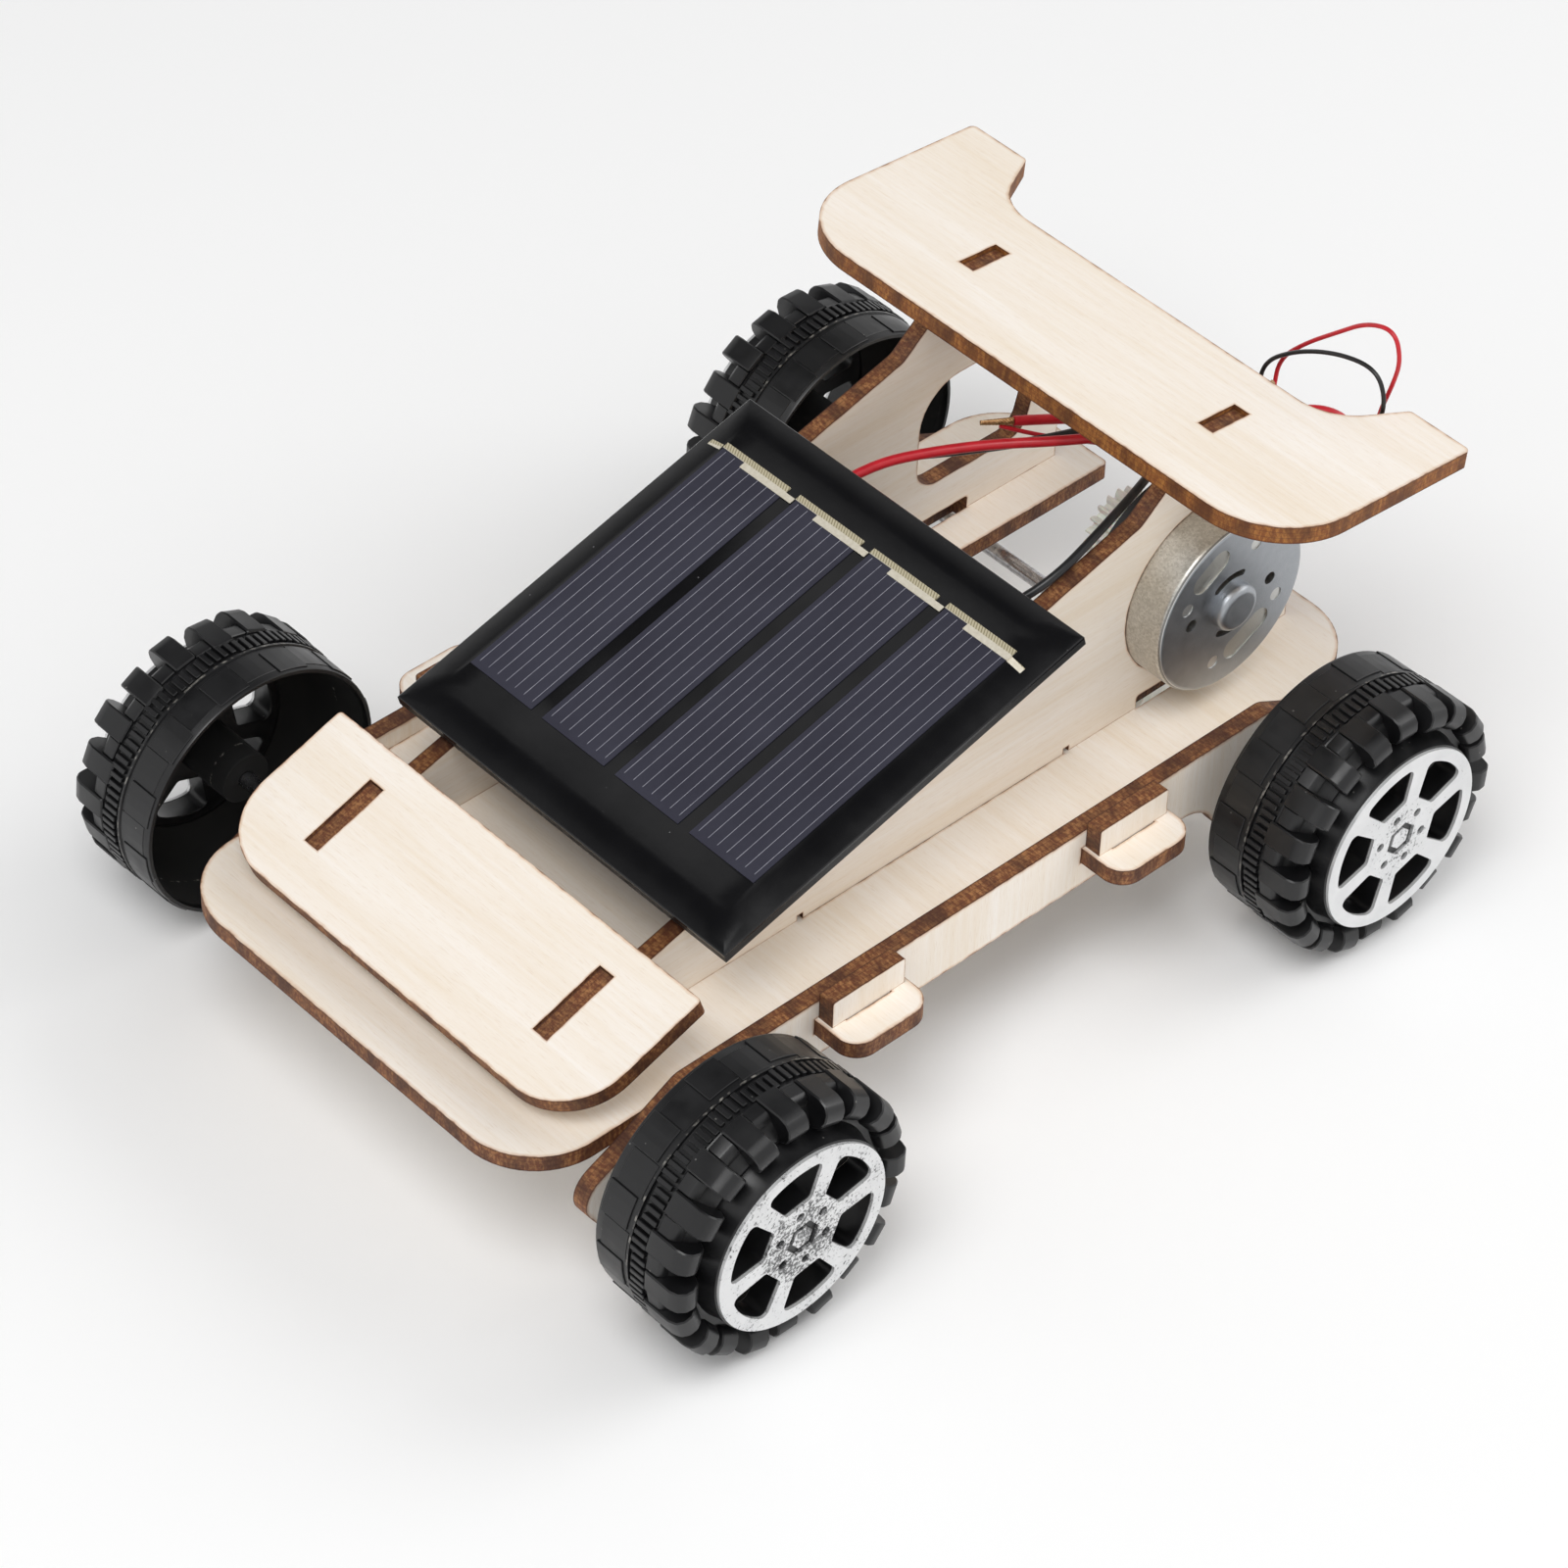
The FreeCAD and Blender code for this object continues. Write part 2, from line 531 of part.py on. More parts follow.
def motor_can():
    """Drawn can with a closed bearing boss, two screw holes, vents and pressed marks."""
    inside, outside = MOTOR_OUT_X - CAN_WALL - 0.1, MOTOR_OUT_X + 1
    can = round_edges(at_motor(MOTOR_IN_X + 1.2, MOTOR_OUT_X, MOTOR_R), MOTOR_OUT_X, CAN_EDGE_R)
    can = can.cut(at_motor(MOTOR_IN_X + 1.0, inside, MOTOR_R - CAN_WALL))
    boss = at_motor(inside, MOTOR_OUT_X + BOSS_H, BOSS_R)
    can = can.fuse(round_edges(boss, MOTOR_OUT_X + BOSS_H, 0.9))
    can = can.cut(at_motor(inside - 1, MOTOR_OUT_X + 0.9, 2.3))
    for dy, dz in SCREW_HOLES:
        can = can.cut(at_motor(inside - 1, outside, 0.85, dy, dz))
    for r, a0, a1 in VENTS:
        can = can.cut(arc_groove(inside - 1, outside, r, 0.45, a0, a1))
    for dy, dz in DIMPLES:
        can = can.cut(at_motor(MOTOR_OUT_X - DIMPLE_DEPTH, outside, DIMPLE_R, dy, dz))
    for start, end in PRESSED:
        can = can.cut(stadium(MOTOR_OUT_X - PRESSED_DEPTH, outside, start, end, PRESSED_HALF_W))
    return can.removeSplitter()


def motor_cap():
    cap = at_motor(MOTOR_IN_X, MOTOR_IN_X + 1.2, MOTOR_R)
    cap = cap.fuse(at_motor(MOTOR_IN_X + 1.2, MOTOR_IN_X + 2.4, MOTOR_R - 0.85))
    cap = cap.cut(at_motor(MOTOR_IN_X + 1.2, MOTOR_IN_X + 4, MOTOR_R - 2.2))
    return cap.cut(at_motor(0, 40, 2.6)).removeSplitter()


def motor_bushes():
    front = at_motor(MOTOR_IN_X - 1.4, MOTOR_IN_X + 2.2, 2.6).cut(at_motor(0, 60, SHAFT_R + 0.04))
    rear = at_motor(MOTOR_OUT_X - 1.8, MOTOR_OUT_X + 0.8, 2.25).cut(at_motor(0, 60, SHAFT_R + 0.04))
    return [front, rear]


def motor_magnets():
    ring = at_motor(MOTOR_IN_X + 3.2, MOTOR_OUT_X - 1.4, MOTOR_R - 0.85)
    ring = ring.cut(at_motor(0, 60, MOTOR_R - 2.9))
    split = box(0, 60, MOTOR_Y - 1.5, MOTOR_Y + 1.5, MOTOR_Z - 20, MOTOR_Z + 20)
    return ring.cut(split).Solids


def motor_armature():
    """Three wound poles and the commutator, fixed on the shaft."""
    core = at_motor(MOTOR_IN_X + 4.6, MOTOR_OUT_X - 2.4, 4.2)
    for i in range(3):
        pole = box(MOTOR_IN_X + 5.4, MOTOR_OUT_X - 3.2, -1.4, 1.4, 0, 8.6)
        shoe = rod_x(MOTOR_IN_X + 5.4, MOTOR_OUT_X - 3.2, 0, 0, 8.9).cut(rod_x(0, 60, 0, 0, 7.6))
        shoe = shoe.common(box(0, 60, -5.5, 5.5, 4, 20))
        arm = pole.fuse(shoe)
        arm.rotate(V(0, 0, 0), V(1, 0, 0), 120 * i)
        arm.translate(V(0, MOTOR_Y, MOTOR_Z))
        core = core.fuse(arm)
    core = core.fuse(at_motor(MOTOR_IN_X + 2.6, MOTOR_IN_X + 4.6, 2.4))
    return core.cut(at_motor(0, 60, SHAFT_R)).removeSplitter()


def motor_shaft():
    return at_motor(6.2, MOTOR_OUT_X + 0.6, SHAFT_R)


TERMINALS = ((MOTOR_Y + 5.2, MOTOR_Z + 6.6), (MOTOR_Y - 0.2, MOTOR_Z + 8.4))


def motor_terminals():
    return [box(MOTOR_IN_X - 2.4, MOTOR_IN_X, y - 0.8, y + 0.8, z - 0.15, z + 0.15) for y, z in TERMINALS]


# ---- wires -------------------------------------------------------------------------
# Each route is a list of hand-chosen points. The tube runs straight between them, and
# each turn is the largest arc that its two runs allow.
RED_ROUTE = [(-12.0, 8.8, 44.2), (-12.4, 19.4, 47.4), (-5.6, 32.0, 48.7), (4.6, 43.4, 49.8),
             (12.6, 53.6, 51.8), (18.4, 61.0, 53.2), (23.0, 65.2, 54.4), (26.2, 67.3, 51.0),
             (25.4, 67.7, 46.0), (20.6, 67.5, 43.0), (13.0, 65.2, 42.2), (5.0, 61.4, 42.2),
             (-3.8, 53.6, 42.8), (-8.8, 44.4, 43.8)]
BLACK_ROUTE = [(15.0, 8.8, 44.2), (16.8, 17.2, 45.9), (19.8, 22.6, 49.8), (18.8, 31.2, 51.9),
               (16.6, 40.2, 52.6), (12.2, 48.6, 49.8), (13.2, 56.6, 49.0), (11.6, 61.8, 48.2),
               (6.2, 62.2, 46.4), (1.4, 56.4, 44.8), (-2.8, 47.8, 43.6), (-8.4, 39.8, 42.2),
               (-14.4, 33.4, 40.8)]
MOTOR_RED_ROUTE = [(12.6, TERMINALS[0][0], TERMINALS[0][1]), (14.0, 58.0, 43.6), (14.6, 63.2, 45.0),
                   (12.6, 66.7, 50.0), (12.4, 67.4, 54.4), (16.2, 67.5, 59.0), (20.6, 67.4, 63.2),
                   (25.2, 67.2, 67.6), (29.6, 67.0, 69.2), (31.2, 66.8, 65.8), (29.8, 67.7, 61.0),
                   (28.4, 67.4, 55.6), (28.4, 66.6, 50.0), (24.6, 64.9, 45.4), (17.0, 63.9, 42.2),
                   (9.0, 60.0, 40.2), (0.6, 54.4, 40.4), (-6.0, 47.0, 41.6), (-9.6, 42.8, 43.4)]
MOTOR_BLACK_ROUTE = [(12.6, TERMINALS[1][0], TERMINALS[1][1]), (13.6, 53.0, 46.2), (13.8, 60.4, 45.9),
                     (12.2, 64.8, 48.8), (10.8, 66.0, 53.6), (16.2, 66.1, 58.6), (22.6, 66.1, 62.0),
                     (28.2, 66.2, 63.0), (30.4, 65.9, 60.0), (29.8, 66.0, 55.6), (24.8, 64.2, 52.4),
                     (19.0, 63.6, 50.6), (13.1, 63.1, 50.4)]


def wire_path(name, route, diameter):
    """Straight runs and tangent arcs through the route's points; prints the smallest radius."""
    points = [V(*p) for p in route]
    edges = []
    start = points[0]
    smallest = 1e9
    for i in range(1, len(points) - 1):
        back, ahead = points[i - 1] - points[i], points[i + 1] - points[i]
        turn = math.pi - back.getAngle(ahead)
        radius = 0.45 * min(back.Length, ahead.Length) / math.tan(turn / 2)
        a, middle, b = round_corner(points[i - 1], points[i], points[i + 1], radius)
        edges.append(Part.LineSegment(start, a).toShape())
        edges.append(Part.Arc(a, middle, b).toShape())
        start = b
        smallest = min(smallest, radius)
        if turn > math.radians(91):
            print("sharp turn in", name, "at", i, round(math.degrees(turn)))
    edges.append(Part.LineSegment(start, points[-1]).toShape())
    path = Part.Wire(edges)
    print("%-24s smallest radius %.1f mm, length %.1f mm, %.1f diameters" % (
        name, smallest, path.Length, smallest / diameter))
    return path


def wire(name, route, r):
    path = wire_path(name, route, 2 * r)
    heading = (V(*route[1]) - V(*route[0])).normalize()
    section = Part.Wire(Part.makeCircle(r, V(*route[0]), heading))
    tube = path.makePipeShell([section], True, False)
    print("%-24s volume over section x length %.4f" % (name, tube.Volume / (math.pi * r * r * path.Length)))
    return tube


def twist(start, heading, turns, r):
    """Bare strands twisted together: a short slim rod from the end of the insulation."""
    return Part.makeCone(r, r * 0.55, turns, V(*start), V(*heading))


# ---- write every node --------------------------------------------------------------
os.makedirs("parts", exist_ok=True)

save("base_plate", base_plate())
save("rail_right", rail())
save("rail_left", mirror_x(rail()))
save("side_panel_right", side_panel(True))
save("side_panel_left", mirror_x(side_panel(False)))
save("front_wing", front_wing())
save("rear_wing", rear_wing())
for side, side_name in ((1, "right"), (-1, "left")):
    for y, end_name in ((-EAR_Y, "front"), (EAR_Y, "rear")):
        key = rail_key(y)
        save("rail_key_%s_%s" % (end_name, side_name), key if side > 0 else mirror_x(key))

save("solar_tape", solar_tape())
save("solar_board", solar_board())
save("solar_resin", solar_resin())
save("solar_cells", solar_cells())
save("cell_tabs", cell_tabs())
save("solar_solder", solar_solder())

WHEEL_TURNS = {"front_right": 158, "front_left": 9.5, "rear_right": 48, "rear_left": 31}     # degrees at rest
tyre, face = wheel(), hub_face()
for y, end_name in ((-AXLE_Y, "front"), (AXLE_Y, "rear")):
    save("%s_axle" % end_name, axle(y))
    for side, side_name in ((1, "right"), (-1, "left")):
        place = "%s_%s" % (end_name, side_name)
        save("wheel_" + place, put_wheel(tyre, side, y, WHEEL_TURNS[place]))
        save("hub_face_" + place, put_wheel(face, side, y, WHEEL_TURNS[place]))

save("axle_gear", axle_gear())
save("motor_pinion", motor_pinion())
save("motor_shaft", motor_shaft())
save("motor_armature", motor_armature())
save("motor_can", motor_can())
save("motor_cap", motor_cap())
save("motor_bushes", motor_bushes())
save("motor_magnets", motor_magnets())
save("motor_terminals", motor_terminals())

save("solar_lead_red", wire("solar_lead_red", RED_ROUTE, THICK_WIRE_R))
save("solar_lead_black", wire("solar_lead_black", BLACK_ROUTE, BLACK_WIRE_R))
save("motor_lead_red", wire("motor_lead_red", MOTOR_RED_ROUTE, THIN_WIRE_R))
save("motor_lead_black", wire("motor_lead_black", MOTOR_BLACK_ROUTE, THIN_WIRE_R))
save("splice_red", twist(RED_ROUTE[-1], (-1.5, -2.5, 0.2), 4.2, 0.55))
save("splice_black", twist((11.8, 61.4, 48.0), (1.2, 1.4, 2.6), 6.8, 0.6))
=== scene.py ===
# %% [markdown]
# # A solar powered toy car of laser-cut plywood
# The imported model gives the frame: every board, wheel, gear and motor piece at its real size
# and place, in metres. This notebook keeps what is already right, remakes the pieces whose
# look needs more shape, and gives each surface the finish of the real material.

# %% Load the frame
import math

import bmesh
import bpy
from mathutils import Matrix, Vector
from mathutils.geometry import delaunay_2d_cdt


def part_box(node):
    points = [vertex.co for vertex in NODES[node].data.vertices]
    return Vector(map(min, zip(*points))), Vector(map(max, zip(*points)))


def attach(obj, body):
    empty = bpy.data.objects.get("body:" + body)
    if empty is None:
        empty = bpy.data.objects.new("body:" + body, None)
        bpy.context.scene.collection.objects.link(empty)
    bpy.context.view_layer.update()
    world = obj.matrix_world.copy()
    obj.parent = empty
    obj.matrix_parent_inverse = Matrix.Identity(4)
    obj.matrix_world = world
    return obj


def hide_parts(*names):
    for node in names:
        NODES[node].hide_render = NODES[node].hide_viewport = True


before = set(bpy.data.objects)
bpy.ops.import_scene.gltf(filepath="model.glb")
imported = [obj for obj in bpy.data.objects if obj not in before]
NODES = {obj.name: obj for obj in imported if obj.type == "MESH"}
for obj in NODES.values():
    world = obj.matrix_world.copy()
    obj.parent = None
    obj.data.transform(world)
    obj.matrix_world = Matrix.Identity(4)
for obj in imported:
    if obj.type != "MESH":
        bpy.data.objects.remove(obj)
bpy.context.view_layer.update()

MM = 0.001


# %% [markdown]
# ## Camera, floor and light
# A product picture of a small object is usually taken from a little way off with a long lens,
# so that parallel edges stay almost parallel. The camera looks down at about 43 degrees from
# the motor side of the nose. A white floor and a white surround act as a light tent, and two
# large soft lamps give the gentle shadows under the boards. A glossy panel would mirror the
# white tent and look grey, so the tent has a dark opening where its mirror image looks, with one
# dim card in the middle that gives the flat top of the panel its faint sheen.

# %% Camera
def camera_matrix(target, azimuth, elevation, roll, distance):
    """A camera that looks at target from that side and height, tipped by roll, in degrees."""
    a, e, r = (math.radians(v) for v in (azimuth, elevation, roll))
    back = Vector((math.sin(a) * math.cos(e), -math.cos(a) * math.cos(e), math.sin(e)))
    right = Vector((math.cos(a), math.sin(a), 0))
    up = back.cross(right)
    x_axis = right * math.cos(r) + up * math.sin(r)
    y_axis = up * math.cos(r) - right * math.sin(r)
    turn = Matrix((x_axis, y_axis, back)).transposed().to_4x4()
    return Matrix.Translation(target + back * distance) @ turn


CAMERA_TARGET = Vector((9.6, -9.8, 30.0)) * MM
camera = bpy.data.objects.new("camera", bpy.data.cameras.new("camera"))
camera.data.lens, camera.data.sensor_width, camera.data.clip_start = 128.18, 36.0, 0.01
camera.matrix_world = camera_matrix(CAMERA_TARGET, 46.02, 43.17, 2.03, 0.6478)
bpy.context.scene.collection.objects.link(camera)
bpy.context.scene.camera = camera
print("camera at", tuple(round(v, 3) for v in camera.matrix_world.translation))


# %% Colour and node helpers
def linear(hex_code):
    """An sRGB hex colour as the linear RGBA that Blender's sockets take."""
    parts = [int(hex_code[i:i + 2], 16) / 255 for i in (1, 3, 5)]
    return tuple(c / 12.92 if c <= 0.04045 else ((c + 0.055) / 1.055) ** 2.4 for c in parts) + (1.0,)


def add(tree, kind, inputs=None, **settings):
    """Adds one node; inputs maps a socket's name or number to a value or to another socket."""
    node = tree.nodes.new(kind)
    for key, value in settings.items():
        setattr(node, key, value)
    for key, value in (inputs or {}).items():
        if isinstance(value, bpy.types.NodeSocket):
            tree.links.new(value, node.inputs[key])
        else:
            node.inputs[key].default_value = value
    return node


def new_material(name):
    """An empty node material with its shader; returns the material, its tree and the shader."""
    material = bpy.data.materials.new(name)
    material.use_nodes = True
    tree = material.node_tree
    tree.nodes.clear()
    shader = add(tree, "ShaderNodeBsdfPrincipled")
    add(tree, "ShaderNodeOutputMaterial", {"Surface": shader.outputs[0]})
    return material, tree, shader


def calculate(tree, operation, a, b=0.0, clamp=False):
    """The output of one Math node, so that sums read left to right."""
    return add(tree, "ShaderNodeMath", {0: a, 1: b}, operation=operation, use_clamp=clamp).outputs[0]


# %% Floor and lamps
def white_floor():
    mesh = bpy.data.meshes.new("floor")
    half = 3.0
    mesh.from_pydata([(-half, -half, 0), (half, -half, 0), (half, half, 0), (-half, half, 0)], [], [(0, 1, 2, 3)])
    floor = bpy.data.objects.new("floor", mesh)
    bpy.context.scene.collection.objects.link(floor)
    paper, tree, shader = new_material("white_background_paper")
    place = add(tree, "ShaderNodeTexCoord").outputs["Object"]
    fibre = add(tree, "ShaderNodeTexNoise", {"Vector": place, "Scale": 3.0, "Detail": 2.0})
    tint = add(tree, "ShaderNodeMix", {"Factor": fibre.outputs[0], "A": linear("#FBFBFB"), "B": linear("#F6F6F6")},
               data_type="RGBA")
    tree.links.new(tint.outputs["Result"], shader.inputs["Base Color"])
    shader.inputs["Roughness"].default_value = 0.9
    mesh.materials.append(paper)


def soft_lamp(name, place, size, watts):
    lamp = bpy.data.objects.new(name, bpy.data.lights.new(name, "AREA"))
    lamp.data.shape, lamp.data.size, lamp.data.energy = "DISK", size, watts
    lamp.location = place
    lamp.rotation_euler = (CAMERA_TARGET - Vector(place)).to_track_quat("-Z", "Y").to_euler()
    bpy.context.scene.collection.objects.link(lamp)


white_floor()


def light_tent(tent, openings):
    """A white surround; each opening is a direction, its soft edge in degrees and its brightness."""
    world = bpy.data.worlds.new("light_tent")
    world.use_nodes = True
    tree = world.node_tree
    direction = add(tree, "ShaderNodeTexCoord").outputs["Generated"]
    glow = tent
    for towards, inner, outer, brightness in openings:
        facing = add(tree, "ShaderNodeVectorMath", {0: direction, 1: towards}, operation="DOT_PRODUCT").outputs["Value"]
        inside = add(tree, "ShaderNodeMapRange", {"Value": facing, "From Min": math.cos(math.radians(outer)),
                                                  "From Max": math.cos(math.radians(inner))}).outputs[0]
        glow = add(tree, "ShaderNodeMix", {"Factor": inside, 2: glow, 3: brightness}).outputs[0]
    tree.links.new(glow, tree.nodes["Background"].inputs["Strength"])
    tree.nodes["Background"].inputs["Color"].default_value = linear("#FFFFFF")
    bpy.context.scene.world = world


soft_lamp("key_softbox", (0.15, -0.35, 0.75), 0.5, 3.05)
soft_lamp("rear_softbox", (0.35, 0.65, 0.55), 0.6, 1.95)
PANEL_MIRROR = (-0.526, 0.085, 0.847)
light_tent(0.83, [((-0.45, 0.05, 0.89), 26.0, 50.0, 0.05), (PANEL_MIRROR, 3.0, 11.0, 0.55)])
bpy.context.scene.view_settings.view_transform = "Standard"
print("floor, two lamps and a white surround with a dark opening")


# %% [markdown]
# ## The four leads
# Each lead is a length of stranded wire in extruded vinyl. A wire of this size bends in smooth
# curves and never in corners, so its line is a NURBS curve whose control points are the route,
# and the curve's own round bevel gives it its thickness.

# %% Vinyl insulation
def vinyl(name, colour, shade):
    """Extruded vinyl: smooth and fairly glossy, with faint lengthwise variation."""
    material, tree, shader = new_material(name)
    place = add(tree, "ShaderNodeTexCoord").outputs["Object"]
    smear = add(tree, "ShaderNodeTexNoise", {"Vector": place, "Scale": 700.0, "Detail": 3.0})
    tint = add(tree, "ShaderNodeMix", {"Factor": smear.outputs[0], "A": linear(shade), "B": linear(colour)},
               data_type="RGBA")
    tree.links.new(tint.outputs["Result"], shader.inputs["Base Color"])
    rough = add(tree, "ShaderNodeMapRange", {"Value": smear.outputs[0], "To Min": 0.24, "To Max": 0.42})
    tree.links.new(rough.outputs[0], shader.inputs["Roughness"])
    bump = add(tree, "ShaderNodeBump", {"Height": smear.outputs[0], "Strength": 0.25, "Distance": 0.00004})
    tree.links.new(bump.outputs[0], shader.inputs["Normal"])
    return material


RED_VINYL = vinyl("red_extruded_vinyl", "#D21F2E", "#A80F1D")
BLACK_VINYL = vinyl("black_extruded_vinyl", "#1C1C1E", "#111112")

# %% Routes of the leads, in millimetres
RED_ROUTE = [(-12.0, 8.8, 44.2), (-12.4, 19.4, 47.4), (-5.6, 32.0, 48.7), (4.6, 43.4, 49.8),
             (12.6, 53.6, 51.8), (18.4, 61.0, 53.2), (23.0, 65.2, 54.4), (26.2, 67.3, 51.0),
             (25.4, 67.7, 46.0), (20.6, 67.5, 43.0), (13.0, 65.2, 42.2), (5.0, 61.4, 42.2),
             (-3.8, 53.6, 42.8), (-8.8, 44.4, 43.8)]
BLACK_ROUTE = [(15.0, 8.8, 44.2), (16.8, 17.2, 45.9), (19.8, 22.6, 49.8), (18.8, 31.2, 51.9),
               (16.6, 40.2, 52.6), (12.2, 48.6, 49.8), (13.2, 56.6, 49.0), (11.6, 61.8, 48.2),
               (6.2, 62.2, 46.4), (1.4, 56.4, 44.8), (-2.8, 47.8, 43.6), (-8.4, 39.8, 42.2),
               (-14.4, 33.4, 40.8)]
MOTOR_RED_ROUTE = [(12.6, 51.5, 43.502), (14.0, 58.0, 43.6), (14.6, 63.2, 45.0), (12.6, 66.7, 50.0),
                   (12.4, 67.4, 54.4), (16.2, 67.5, 59.0), (20.6, 67.4, 63.2), (25.2, 67.2, 67.6),
                   (29.6, 67.0, 69.2), (31.2, 66.8, 65.8), (29.8, 67.7, 61.0), (28.4, 67.4, 55.6),
                   (28.4, 66.6, 50.0), (24.6, 64.9, 45.4), (17.0, 63.9, 42.2), (9.0, 60.0, 40.2),
                   (0.6, 54.4, 40.4), (-6.0, 47.0, 41.6), (-9.6, 42.8, 43.4)]
MOTOR_BLACK_ROUTE = [(12.6, 46.1, 45.302), (13.6, 53.0, 46.2), (13.8, 60.4, 45.9), (12.2, 64.8, 48.8),
                     (10.8, 66.0, 53.6), (16.2, 66.1, 58.6), (22.6, 66.1, 62.0), (28.2, 66.2, 63.0),
                     (30.4, 65.9, 60.0), (29.8, 66.0, 55.6), (24.8, 64.2, 52.4), (19.0, 63.6, 50.6),
                     (13.1, 63.1, 50.4)]
LEADS = (  # name, route, radius and cut length in mm, finish, slot, what is at its bare end
    ("solar_lead_red", RED_ROUTE, 0.65, 123.2, RED_VINYL, "red_insulation", "splice_red"),
    ("solar_lead_black", BLACK_ROUTE, 0.55, 97.7, BLACK_VINYL, "black_insulation", None),
    ("motor_lead_red", MOTOR_RED_ROUTE, 0.28, 113.7, RED_VINYL, "red_insulation", None),
    ("motor_lead_black", MOTOR_BLACK_ROUTE, 0.28, 69.9, BLACK_VINYL, "black_insulation", "splice_black"),
)


# %% Curves for the leads
def lead_curve(name, route, radius, finish):
    curve = bpy.data.curves.new(name + "_line", "CURVE")
    curve.dimensions = "3D"
    curve.bevel_depth, curve.bevel_resolution, curve.resolution_u = radius * MM, 5, 10
    curve.use_fill_caps = True
    spline = curve.splines.new("NURBS")
    spline.points.add(len(route) - 1)
    for point, place in zip(spline.points, route):
        point.co = (*(Vector(place) * MM), 1.0)
    spline.order_u = 3
    spline.use_endpoint_u = True
    curve.materials.append(finish)
    lead = bpy.data.objects.new(name + "_vinyl", curve)
    bpy.context.scene.collection.objects.link(lead)
    return lead


for name, route, radius, length, finish, slot_name, bare_end in LEADS:
    lead = lead_curve(name, route, radius, finish)
    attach(lead, "chassis")
    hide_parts(name)
    print("lead", name, length, "mm long")


# %% [markdown]
# ## Laser-cut plywood
# The boards are pale three-ply basswood. A laser cuts the outline by burning, which leaves a dark
# brown wall with the veneers still showing as lines, and an amber breath of scorch on the faces
# beside the cut. A plain texture can't know where the cuts are, so each board's faces get a
# narrow ring next to every outline, and the ring and the walls carry a value named burn: 2 on
# the wall, 1 at the cut and 0 inside. A second value named grain holds millimetres along the
# grain, across it, and the share of the thickness, so the wood follows each board.

